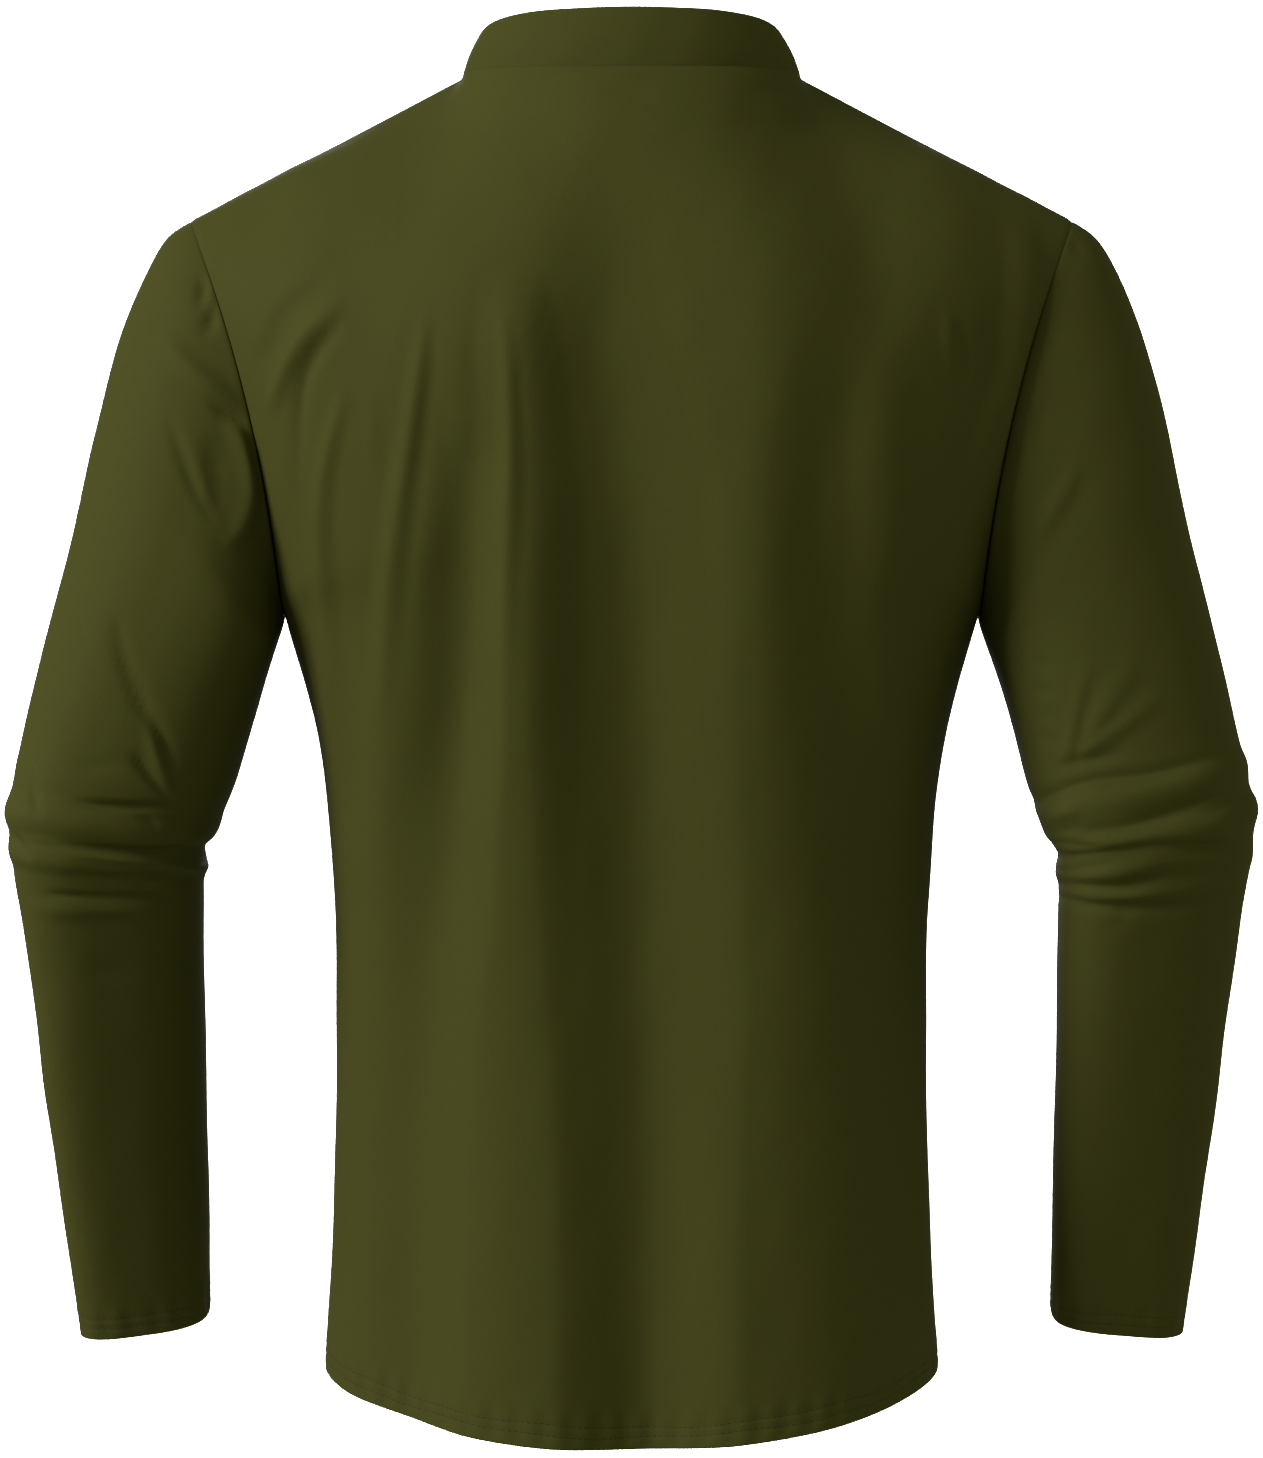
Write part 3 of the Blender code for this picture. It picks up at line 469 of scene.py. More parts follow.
# %% [markdown]
# ## Creases
#
# Jersey falls in soft ridges with sharper valleys between them. Each crease is a line of a few knots, placed
# as it is seen straight on, with its half width and its height in millimetres. A height below zero
# makes a trough. A low roundness gives a crisp line and a high one a soft swell. Cloth simulation could make
# such folds too, but not in these places, so they are given one by one.

# %% What a crease is
Crease = namedtuple("Crease", "roundness knots")  # a knot is x, z, half width and height in mm
CRISP = 0.15
MEDIUM = 0.45
SOFT = 1.50
STEPS_BETWEEN_KNOTS = 5


def crease_line(knots):
    """A smooth line of knots, in metres."""
    table = np.array(knots) / 1000.0
    places = np.arange(len(table))
    count = STEPS_BETWEEN_KNOTS * (len(table) - 1) + 1
    return np.array([curve_through(places, table, at) for at in np.linspace(0, len(table) - 1, count)])


def crease_relief(points, creases):
    """Height of a set of creases at points seen straight on."""
    place = points[..., (0, 2)].reshape(-1, 2)
    total = np.zeros(len(place))
    for crease in creases.values():
        line = crease_line(crease.knots)
        reach = line[:, 2].max()
        low, high = line[:, :2].min(axis=0) - reach, line[:, :2].max(axis=0) + reach
        near = np.flatnonzero(np.all((place > low) & (place < high), axis=1))
        if not len(near):
            continue
        start, run = line[:-1, :2], np.diff(line[:, :2], axis=0)
        offset = place[near][:, None] - start[None]
        t = np.clip(np.sum(offset * run, axis=-1) / np.sum(run * run, axis=-1), 0.0, 1.0)
        away = np.linalg.norm(offset - t[..., None] * run, axis=-1)
        away /= line[:-1, 2] + np.diff(line[:, 2]) * t
        which = np.argmin(away, axis=1)
        each = np.arange(len(near))
        height = line[which, 3] + np.diff(line[:, 3])[which] * t[each, which]
        edge = math.sqrt(1.0 + crease.roundness**2)
        here = np.sqrt(np.minimum(away[each, which], 1.0) ** 2 + crease.roundness**2)
        total[near] += height * ((edge - here) / (edge - crease.roundness)) ** 2
    return total.reshape(points.shape[:-1])


print("a crisp crease is half as high", round(1.0 - math.sqrt(0.5), 2), "of its half width from its line")

# %% Creases of the back
BACK_CREASES = {
    "hollow down the middle": Crease(SOFT, (
        (14, -50, 26, 0), (12, -100, 35, -2.2), (9, -150, 43, -5.5), (5, -200, 49, -10), (2, -250, 53, -13.5),
        (1, -325, 54, -16), (-4, -400, 55, -16.5), (-7, -475, 53, -16), (-8, -550, 50, -16.5),
        (-8, -720, 49, -17))),
    "swell over the left shoulder blade": Crease(SOFT, (
        (80, -32, 66, 0), (80, -70, 71, 5), (78, -105, 74, 8.5), (78, -138, 71, 7), (78, -175, 64, 2.5),
        (78, -205, 60, 0))),
    "long fold left of the middle": Crease(SOFT, (
        (57, -110, 16, 0), (56, -150, 24, 5), (53, -200, 28, 4.5), (52, -250, 30, 5), (56, -325, 32, 6),
        (60, -400, 34, 5.5), (63, -475, 36, 4.5), (60, -550, 38, 3.5), (57, -720, 40, 3))),
    "crest of that fold": Crease(MEDIUM, (
        (62, -132, 6, 0), (60.5, -170, 8, 2.2), (60, -205, 9, 3.0), (61, -235, 10, 3.0),
        (63.5, -275, 11, 2.6), (67, -325, 14, 1.8), (70, -375, 18, 0.8), (72, -430, 20, 0))),
    "edge right of the slim fold": Crease(MEDIUM, (
        (97, -138, 5, 0), (99.5, -160, 7, -0.6), (103, -185, 8, -0.6), (107, -210, 8, -0.5),
        (111, -236, 8, -0.3), (116, -276, 9, 0))),
    "hollow left of that fold": Crease(SOFT, (
        (80, -185, 16, 0), (84, -250, 24, -6), (88, -325, 30, -11), (97, -400, 33, -11), (106, -475, 34, -10),
        (112, -550, 34, -10), (114, -650, 34, -10), (115, -700, 34, -6.5), (116, -740, 34, -3))),
    "long fold right of the middle": Crease(SOFT, (
        (-70, -34, 62, 0), (-71, -76, 64, 6), (-71, -110, 62, 8.4), (-69, -150, 50, 7.2),
        (-65, -200, 36, 5.8), (-66, -250, 32, 6), (-72, -325, 36, 5), (-80, -400, 44, 4.5),
        (-90, -475, 50, 6), (-96, -550, 50, 4), (-100, -720, 50, 2))),
    "slim fold by the left shoulder blade": Crease(MEDIUM, (
        (101.5, -132, 6, 0), (104.5, -156, 8, 1.8), (108.5, -182, 9, 2.5), (113, -210, 10, 2.8),
        (117, -236, 11, 3.0), (121.5, -276, 12, 3.1), (126, -325, 14, 2.8), (130, -375, 17, 2.0),
        (134, -430, 24, 0))),
    "slim fold at the left side": Crease(MEDIUM, (
        (142, -166, 6, 0), (152, -198, 8, 2.6), (157, -236, 9, 3.2), (155.5, -276, 10, 3.0),
        (152.5, -325, 11, 2.0), (150, -375, 12, 0))),
    "ridge round the left shoulder blade": Crease(MEDIUM, (
        (143, -125, 6, 0), (153, -132, 7.5, 2.4), (163, -141, 7.5, 3.4), (172, -154, 7, 3.8),
        (179, -169, 7, 3.0), (182, -181, 7, 0))),
    "valley beside that ridge": Crease(CRISP, (
        (144, -136, 5, 0), (152, -143, 6.5, -2.4), (160, -153, 6.5, -3.4), (166, -167, 7, -3.3),
        (168, -190, 9, -2.4), (169, -230, 12, -1.4), (169.5, -270, 12, 0))),
    "soft hollow above that ridge": Crease(SOFT, (
        (149, -111, 9, 0), (161, -120, 11, -1.9), (173, -131, 11, -2.4), (184, -150, 9, -1.6),
        (188, -162, 8, 0))),
    "faint line on the left": Crease(MEDIUM, ((129.5, -170, 7, 0), (130, -192, 8, 0.7), (129, -214, 7, 0))),
    "faint line left of the crest": Crease(SOFT, (
        (85, -135, 10, 0), (85.5, -175, 12, 1.0), (84, -215, 10, 0))),
    "fold on the right shoulder blade": Crease(SOFT, (
        (-122, -135, 20, 0), (-127, -200, 24, 3), (-128, -290, 24, 3), (-133, -380, 24, 0))),
    "short line on the right shoulder blade": Crease(MEDIUM, (
        (-157, -128, 6, 0), (-160, -142, 7, 1.2), (-163, -162, 6, 0))),
    "valley beside that line": Crease(MEDIUM, (
        (-164, -134, 6, 0), (-167, -150, 8, -1.2), (-168, -172, 7, 0))),
    "hollow by the right armhole": Crease(SOFT, (
        (-180, -128, 9, 0), (-184, -150, 11, -1.4), (-180, -180, 9, 0))),
    "swell along the right armhole": Crease(SOFT, (
        (-198, -76, 12, 0), (-201, -106, 14, 2.4), (-198, -143, 15, 3.2), (-189, -177, 15, 3.2),
        (-180, -204, 14, 2.6), (-175, -240, 12, 0))),
    "low swell on the right side": Crease(SOFT, (
        (-126, -290, 14, 0), (-130, -325, 15, 1.3), (-141, -375, 16, 1.3), (-145, -430, 15, 0))),
    "line below the collar": Crease(MEDIUM, (
        (18, -17, 5, 0), (8, -18, 6, -0.7), (-6, -18, 6, -0.7), (-15, -17, 5, 0))),
    "line at the right of the collar": Crease(MEDIUM, (
        (-58, -12, 5, 0), (-68, -13, 6, -0.8), (-78, -14, 6, -0.8), (-86, -15, 5, 0))),
}
print(len(BACK_CREASES), "creases on the back")

# %% [markdown]
# The front is not in the picture. It is finished in the same way as the back, with folds that fall from the
# chest and from the armholes.

# %% Creases of the front
FRONT_CREASES = {
    "long fold under the left chest": Crease(SOFT, (
        (70, -230, 26, 0), (72, -330, 40, 6), (68, -480, 52, 7.5), (70, -720, 58, 8))),
    "long fold under the right chest": Crease(SOFT, (
        (-62, -240, 26, 0), (-60, -340, 38, 5.5), (-64, -480, 50, 7.5), (-66, -720, 56, 8))),
    "crest of the left fold": Crease(MEDIUM, (
        (82, -210, 9, 0), (84, -260, 11, 1.4), (81, -320, 13, 1.2), (76, -400, 16, 0))),
    "crest of the right fold": Crease(MEDIUM, (
        (-74, -230, 9, 0), (-76, -285, 11, 1.3), (-72, -350, 14, 1.0), (-68, -430, 16, 0))),
    "slim fold on the left side": Crease(MEDIUM, (
        (135, -200, 10, 0), (130, -240, 13, 2.4), (127, -290, 15, 2.8), (130, -340, 16, 1.8),
        (134, -400, 16, 0))),
    "slim fold on the right side": Crease(MEDIUM, (
        (-140, -190, 10, 0), (-134, -240, 13, 2.2), (-131, -300, 15, 2.8), (-133, -360, 16, 1.6),
        (-136, -410, 16, 0))),
    "crease from the left armhole": Crease(MEDIUM, (
        (181, -170, 8, 0), (168, -186, 10, 1.8), (152, -206, 11, 1.8), (141, -232, 10, 0))),
    "crease from the right armhole": Crease(MEDIUM, (
        (-183, -160, 8, 0), (-171, -178, 10, 1.7), (-156, -200, 11, 1.6), (-146, -224, 10, 0))),
    "valley from the left armhole": Crease(CRISP, (
        (180, -190, 6, 0), (168, -204, 8, -1.6), (157, -224, 8, -1.4), (150, -246, 8, 0))),
    "valley from the right armhole": Crease(CRISP, (
        (-182, -180, 6, 0), (-171, -196, 8, -1.5), (-160, -216, 8, -1.3), (-152, -238, 8, 0))),
    "hollow between the chest muscles": Crease(SOFT, ((2, -130, 22, 0), (0, -200, 34, -3), (2, -300, 36, 0))),
    "line below the left of the collar": Crease(MEDIUM, (
        (36, -66, 6, 0), (24, -74, 8, -0.8), (10, -78, 7, 0))),
    "line below the right of the collar": Crease(MEDIUM, (
        (-34, -64, 6, 0), (-25, -72, 8, -0.7), (-14, -77, 7, 0))),
}
print(len(FRONT_CREASES), "creases on the front")

# %% [markdown]
# A bent elbow crowds the sleeve into rolls behind and before it. The left sleeve has a long crease that runs
# down into the elbow and a few level rolls. The right one has a fan of creases from its inner side and more,
# slanting rolls. The creases before the elbows are not in the picture, so both sleeves have the same.

# %% Creases of the left sleeve
LEFT_SLEEVE_BACK = {
    "pucker at the shoulder": Crease(MEDIUM, (
        (214, -104, 5, 0), (217, -111, 6, -3.0), (219, -118, 6, -2.4), (221, -127, 5, 0))),
    "ridge below that pucker": Crease(MEDIUM, ((208, -113, 5, 0), (213, -119, 6, 2.0), (218, -127, 5, 0))),
    "second pucker at the shoulder": Crease(MEDIUM, (
        (207, -118, 5, 0), (211, -125, 6, -3.0), (215, -133, 6, -2.2), (220, -141, 5, 0))),
    "faint line to that pucker": Crease(MEDIUM, ((232, -113, 4, 0), (223, -110, 5, -0.8), (215, -107, 5, 0))),
    "ridge to the armhole": Crease(MEDIUM, (
        (240, -136, 8, 0), (232, -148, 10, 2.0), (217, -163, 10, 2.8), (197, -176, 8, 0))),
    "valley under that ridge": Crease(CRISP, (
        (216, -173, 4.5, 0), (206, -180, 5, -2.4), (195, -185, 5, -2.0), (189, -187, 4.5, 0))),
    "ridge round a hollow": Crease(MEDIUM, (
        (208, -184, 7, 0), (200, -190, 8, 2.6), (195, -206, 8, 3.4), (194, -224, 8, 3.4), (199, -240, 8, 2.4),
        (208, -246, 8, 0))),
    "hollow at the armhole": Crease(SOFT, (
        (214, -188, 9, 0), (211, -205, 11, -2.0), (209, -224, 10, -2.0), (210, -238, 9, 0))),
    "line towards the inside": Crease(CRISP, (
        (236, -180, 6, 0), (231, -193, 7, -1.6), (223, -214, 7, -2.3), (212, -237, 6, 0))),
    "long crease into the elbow": Crease(CRISP, (
        (262, -280, 6.5, 0), (260, -292, 7, -1.6), (255, -310, 7.5, -2.6), (245, -332, 7.5, -3.0),
        (236, -349, 7, -2.1), (231, -362, 5.5, 0))),
    "ridge right of that crease": Crease(MEDIUM, (
        (247, -326, 5, 0), (243, -342, 5.5, 1.9), (239, -358, 5.5, 2.2), (233, -374, 5, 0))),
    "dimple above the elbow": Crease(CRISP, (
        (252, -350, 4, 0), (248, -358, 5, -2.3), (240, -368, 4.5, -2.1), (231, -378, 4, 0))),
    "faint line above the elbow": Crease(MEDIUM, (
        (282, -357, 6, 0), (270, -358, 7, -0.8), (256, -358, 6, 0))),
    "line at the outer edge": Crease(CRISP, (
        (309, -350, 4.5, 0), (306, -360, 5, -1.5), (302, -374, 5, -1.6), (297, -386, 4.5, 0))),
    "upper roll": Crease(SOFT, (
        (330, -380, 11, 1.5), (300, -383, 12, 2.6), (270, -388, 13, 3.2), (243, -395, 12, 2.8),
        (210, -399, 10, 1.5))),
    "valley over the upper roll": Crease(CRISP, (
        (286, -376, 4, 0), (269, -378, 5, -2.6), (252, -379, 5, -2.8), (238, -379, 4.5, -1.8),
        (224, -381, 4, 0))),
    "small mark in the upper roll": Crease(CRISP, (
        (252, -383, 4, 0), (244, -386, 5, -1.4), (240, -391, 4, 0))),
    "valley under the upper roll": Crease(CRISP, (
        (304, -397, 4, 0), (279, -400, 4.5, -2.1), (250, -401, 4.5, -2.5), (228, -400, 4, -1.4),
        (214, -401, 4, 0))),
    "middle roll": Crease(SOFT, (
        (330, -399, 9, 1.2), (300, -405, 9, 2.2), (262, -408, 10, 3.0), (234, -410, 8, 2.4),
        (212, -412, 7, 1.4))),
    "valley under the middle roll": Crease(CRISP, (
        (288, -412, 4, 0), (262, -414, 4, -2.0), (240, -414, 4, -2.2), (222, -415, 4, 0))),
    "thin ridge on the middle roll": Crease(CRISP, (
        (304, -394, 4, 0), (286, -400, 5, 1.8), (262, -404, 5, 2.4), (240, -408, 5, 2.2), (222, -411, 4, 1.3),
        (214, -410, 4, 0))),
    "thin fold at the inside": Crease(CRISP, ((248, -422, 4, 0), (238, -417, 5, 1.6), (227, -410, 4, 0))),
    "line below the rolls": Crease(CRISP, (
        (300, -423, 4, 0), (286, -424, 4, -1.7), (262, -425, 4, -2.0), (243, -425, 4, -1.4),
        (230, -424, 4, 0))),
    "last roll": Crease(MEDIUM, (
        (306, -429, 7, 0), (291, -431, 8, 1.6), (270, -432, 8, 1.8), (248, -432, 8, 1.6), (236, -431, 7, 0))),
    "line under the last roll": Crease(CRISP, ((280, -434, 4, 0), (265, -436, 4.5, -1.4), (250, -436, 4, 0))),
    "faint line on the forearm": Crease(SOFT, ((284, -462, 8, 0), (268, -463, 9, -0.7), (244, -463, 8, 0))),
    "slanting line at the outer edge": Crease(CRISP, (
        (316, -392, 4, 0), (309, -399, 5, -2.3), (302, -406, 4, 0))),
}
print(len(LEFT_SLEEVE_BACK), "creases behind the left sleeve")

# %% Creases of the right sleeve
RIGHT_SLEEVE_BACK = {
    "pucker at the shoulder": Crease(MEDIUM, ((-221, -84, 5, 0), (-227, -91, 6, -0.9), (-236, -97, 5, 0))),
    "line at the armhole": Crease(MEDIUM, ((-208, -172, 6, 0), (-206, -183, 7, -1.2), (-207, -196, 6, 0))),
    "slanting ridge under the armhole": Crease(MEDIUM, (
        (-226, -205, 8, 0), (-221, -216, 9, 1.4), (-212, -232, 9, 1.4), (-206, -246, 8, 0))),
    "first rib of the fan": Crease(MEDIUM, (
        (-217, -360, 6, 0), (-222, -348, 7, 1.2), (-227, -323, 8, 1.0), (-234, -300, 8, 0))),
    "valley beside it": Crease(CRISP, (
        (-222, -358, 5, 0), (-226, -345, 7, -1.0), (-231, -324, 7, -0.7), (-236, -308, 6, 0))),
    "second rib of the fan": Crease(MEDIUM, (
        (-227, -352, 7, 0), (-235, -338, 9, 1.3), (-245, -321, 10, 1.1), (-258, -300, 9, 0))),
    "third rib of the fan": Crease(MEDIUM, (
        (-224, -354, 7, 0), (-236, -345, 8, 1.6), (-252, -334, 9, 1.5), (-272, -321, 9, 0))),
    "valley between them": Crease(CRISP, (
        (-226, -350, 5, 0), (-233, -344, 7, -1.3), (-243, -336, 7, -1.2), (-254, -329, 6, 0))),
    "valley under the fan": Crease(CRISP, (
        (-212, -359, 6, 0), (-224, -357, 8, -2.2), (-238, -354, 8, -2.0), (-252, -351, 7, 0))),
    "upper roll": Crease(SOFT, (
        (-330, -352, 10, 1.2), (-296, -364, 11, 2.2), (-262, -372, 12, 3.0), (-235, -378, 12, 3.0),
        (-206, -385, 10, 1.8))),
    "valley over the upper roll": Crease(CRISP, (
        (-203, -379, 7, 0), (-212, -374, 8, -2.0), (-222, -369, 8, -2.4), (-236, -365, 8, -2.4),
        (-260, -363, 8, -2.2), (-281, -358, 7, -1.4), (-296, -353, 6, 0))),
    "puff at the inside": Crease(MEDIUM, ((-214, -380, 8, 0), (-221, -381, 10, 1.8), (-229, -382, 8, 0))),
    "valley under the upper roll": Crease(CRISP, (
        (-226, -394, 6, 0), (-234, -392, 7, -1.8), (-247, -390, 8, -2.4), (-264, -385, 8, -2.4),
        (-282, -379, 7, -1.8), (-298, -372, 6, 0))),
    "short line at the inside": Crease(CRISP, (
        (-211, -396, 4, 0), (-220, -397, 5, -1.3), (-230, -398, 5, -1.2), (-240, -398, 4, 0))),
    "middle roll": Crease(SOFT, (
        (-330, -374, 10, 1.5), (-302, -387, 10, 2.6), (-273, -394, 11, 3.2), (-246, -397, 10, 2.6),
        (-210, -401, 9, 1.6))),
    "valley under the middle roll": Crease(CRISP, (
        (-210, -404, 6, 0), (-222, -404, 7, -2.0), (-245, -401, 7, -2.2), (-268, -398, 7, -2.2),
        (-300, -399, 6, -1.6), (-316, -398, 5, 0))),
    "mark at the outer edge": Crease(CRISP, ((-298, -391, 5, 0), (-304, -387, 6, -1.6), (-314, -379, 5, 0))),
    "short line under that": Crease(CRISP, (
        (-214, -413, 4, 0), (-224, -411, 5, -1.3), (-236, -409, 5, -1.2), (-246, -407, 4, 0))),
    "lower roll": Crease(MEDIUM, (
        (-212, -411, 8, 0), (-240, -413, 9, 1.8), (-270, -406, 9, 1.8), (-306, -408, 9, 1.6),
        (-330, -404, 8, 0.8))),
    "valley under the lower roll": Crease(CRISP, (
        (-211, -418, 5, 0), (-222, -419, 6, -1.7), (-246, -420, 7, -2.0), (-262, -416, 6, -1.6),
        (-276, -410, 5, 0))),
    "last roll": Crease(MEDIUM, (
        (-212, -422, 7, 0), (-240, -424, 8, 1.6), (-270, -422, 8, 1.8), (-300, -417, 8, 1.4),
        (-325, -412, 7, 0))),
    "line under the last roll": Crease(CRISP, (
        (-212, -424, 5, 0), (-222, -426, 6, -1.6), (-234, -429, 7, -1.8), (-260, -430, 7, -1.8),
        (-284, -429, 6, -1.6), (-296, -425, 6, -1.4), (-312, -421, 5, 0))),
    "short line below": Crease(CRISP, ((-243, -432, 4, 0), (-250, -433, 5, -0.9), (-258, -433, 4, 0))),
    "last short line": Crease(CRISP, ((-240, -438, 4, 0), (-248, -439, 5, -0.7), (-257, -439, 4, 0))),
    "small line on the upper arm": Crease(MEDIUM, (
        (-200, -304, 4, 0), (-208, -306, 5, -0.7), (-217, -308, 4, 0))),
    "second small line": Crease(MEDIUM, ((-202, -318, 4, 0), (-209, -320, 5, -0.7), (-217, -321, 4, 0))),
    "third small line": Crease(MEDIUM, ((-204, -332, 4, 0), (-211, -333, 5, -0.8), (-219, -334, 4, 0))),
    "fourth small line": Crease(MEDIUM, ((-206, -343, 4, 0), (-212, -345, 5, -0.8), (-219, -346, 4, 0))),
}
print(len(RIGHT_SLEEVE_BACK), "creases behind the right sleeve")

# %% Creases before the sleeves
RIGHT_LOWER = 3.0  # how much lower the creases before the right sleeve lie, in mm

SLEEVE_FRONT = {
    "upper roll in the crook": Crease(SOFT, (
        (330, -372, 11, 1.5), (300, -376, 12, 2.6), (270, -380, 13, 3.4), (240, -385, 12, 3.0),
        (208, -392, 10, 1.8))),
    "lower roll in the crook": Crease(SOFT, (
        (330, -396, 10, 1.4), (300, -401, 11, 2.4), (270, -405, 12, 3.4), (240, -408, 11, 2.8),
        (208, -412, 9, 1.6))),
    "valley over the rolls": Crease(CRISP, (
        (318, -360, 6, 0), (290, -364, 8, -2.0), (262, -367, 8, -2.4), (232, -372, 8, -2.0),
        (210, -378, 6, 0))),
    "valley between the rolls": Crease(CRISP, (
        (316, -388, 6, 0), (290, -390, 7, -2.2), (262, -393, 8, -2.8), (234, -397, 7, -2.2),
        (214, -401, 6, 0))),
    "valley under the rolls": Crease(CRISP, (
        (314, -414, 6, 0), (288, -417, 7, -1.8), (260, -419, 7, -2.2), (234, -421, 6, 0))),
    "crease down into the crook": Crease(CRISP, (
        (226, -290, 8, 0), (236, -316, 10, -1.8), (250, -340, 10, -2.2), (262, -360, 8, 0))),
    "second crease into the crook": Crease(MEDIUM, (
        (290, -306, 8, 0), (284, -328, 9, -1.4), (276, -350, 8, 0))),
    "last line": Crease(CRISP, (
        (300, -429, 5, 0), (280, -432, 6, -1.3), (256, -434, 6, -1.2), (240, -434, 5, 0))),
    "swell at the armhole": Crease(MEDIUM, (
        (214, -130, 8, 0), (208, -160, 10, 1.6), (200, -190, 10, 1.6), (200, -225, 8, 0))),
}


def mirrored(creases, slide):
    """The same creases on the other side, lower by a slide in mm."""
    return {
        name: Crease(crease.roundness, tuple((-x, z - slide, *shape) for x, z, *shape in crease.knots))
        for name, crease in creases.items()
    }


RIGHT_SLEEVE_FRONT = mirrored(SLEEVE_FRONT, RIGHT_LOWER)
print(len(SLEEVE_FRONT), "creases before each sleeve")

# %% [markdown]
# ## Raising the creases
#
# A crease moves each point along the cloth's own direction. Near a seam it dies away, because the seam holds
# the cloth. The cloth also rolls down into each seam, which shows as a fine groove between two pieces. A few
# low waves keep the rest from looking machined.

# %% Directions, distances and relief
SEAM_CALM = 0.006  # creases die away over this distance from a seam
SEAM_DIP = 0.0006
COLLAR_DIP = 0.0001
NECK_SEAM_SIDE = 0.086
NECK_SEAM_LOW = -0.075
SEAM_ROLL = 0.0010
SEAM_TUCK = 0.0012  # the inner side of a sewn edge reaches this far under its neighbour
LINES_BY_AN_EDGE = (0.06, 0.2, 0.45)  # shares of the first step from an edge, where extra lines go

# length in mm across and down, turn in its beat, and height in mm of each low wave
Wave = namedtuple("Wave", "across down turn height")
WAVES = (
    Wave(61, 310, 0.4, 0.15),
    Wave(37, -190, 2.1, 0.08),
    Wave(-97, 83, 4.0, 0.20),
    Wave(29, 71, 1.3, 0.06),
)


def with_edge_lines(grid, axis, ends):
    """The grid with fine lines of points added just inside the edges named by ends, 0 and -1."""
    grid = np.moveaxis(grid, axis, 0)
    before, after = [], []
    if 0 in ends:
        before = [grid[0] + (grid[1] - grid[0]) * share for share in LINES_BY_AN_EDGE]
    if -1 in ends:
        after = [grid[-1] + (grid[-2] - grid[-1]) * share for share in reversed(LINES_BY_AN_EDGE)]
    lines = [grid[0], *before, *grid[1:-1], *after, grid[-1]]
    return np.moveaxis(np.array(lines), 0, axis)


def grid_normals(grid, closed, outward):
    """Directions square to a grid of points."""
    if closed:
        along = np.roll(grid, -1, axis=1) - np.roll(grid, 1, axis=1)
    else:
        along = np.gradient(grid, axis=1)
    return unit(np.cross(along, np.gradient(grid, axis=0))) * outward


def wave_relief(points):
    """The low waves, in metres."""
    x, z = points[..., 0] * 1000.0, points[..., 2] * 1000.0
    turns = [2.0 * math.pi * (x / wave.across + z / wave.down) + wave.turn for wave in WAVES]
    return sum(wave.height * np.sin(turn) for wave, turn in zip(WAVES, turns)) / 1000.0


print("the low waves reach", sum(wave.height for wave in WAVES), "mm")

# %% [markdown]
# ## One sewn piece
#
# A piece keeps its outer points, their directions and how far they lie from each edge. The hem and the cuffs
# are turned up and stitched with two rows, so the cloth is double there. Those rows pull the cloth in a
# little, and it puckers beside them.

# %% The piece
HEM_TURN = 0.0145
HEM_WALL = 0.0019
HEM_STEP = 0.001  # the cloth thickens to double over this distance
STITCH_ROWS = (0.0118, 0.0068)  # height of the two rows above the edge
ROW_WANDER = 0.0007
LONG_WANDER = 0.021  # the rows wander in a long and a short wave, here in metres to a radian
SHORT_WANDER = 0.0083
SHORT_WANDER_SHARE = 0.6
STITCH_SINK = 0.00030
STITCH_SINK_WIDTH = 0.0009
PUCKER = 0.00035
PUCKER_LENGTH = 0.0135
PUCKER_SLANT = 40.0  # how much the puckers slant, in radians to a metre up from the edge
PUCKER_RISE = 0.004  # puckers grow over this distance from the edge
PUCKER_END = 0.024  # and are gone at this one
PUCKER_FADE = 0.012

# What the pieces of one kind share: whether they close to a ring, how thick they are, which edges are sewn,
# which edge is hemmed, and how deep they dip into a seam
Kind = namedtuple("Kind", "closed wall sewn hemmed dip")
PANEL = Kind(False, CLOTH_WALL, ("top", "sides", "other"), "low", SEAM_DIP)
TUBE = Kind(True, CLOTH_WALL, ("low",), "top", SEAM_DIP)
BAND = Kind(True, COLLAR_WALL, ("low",), "", COLLAR_DIP)


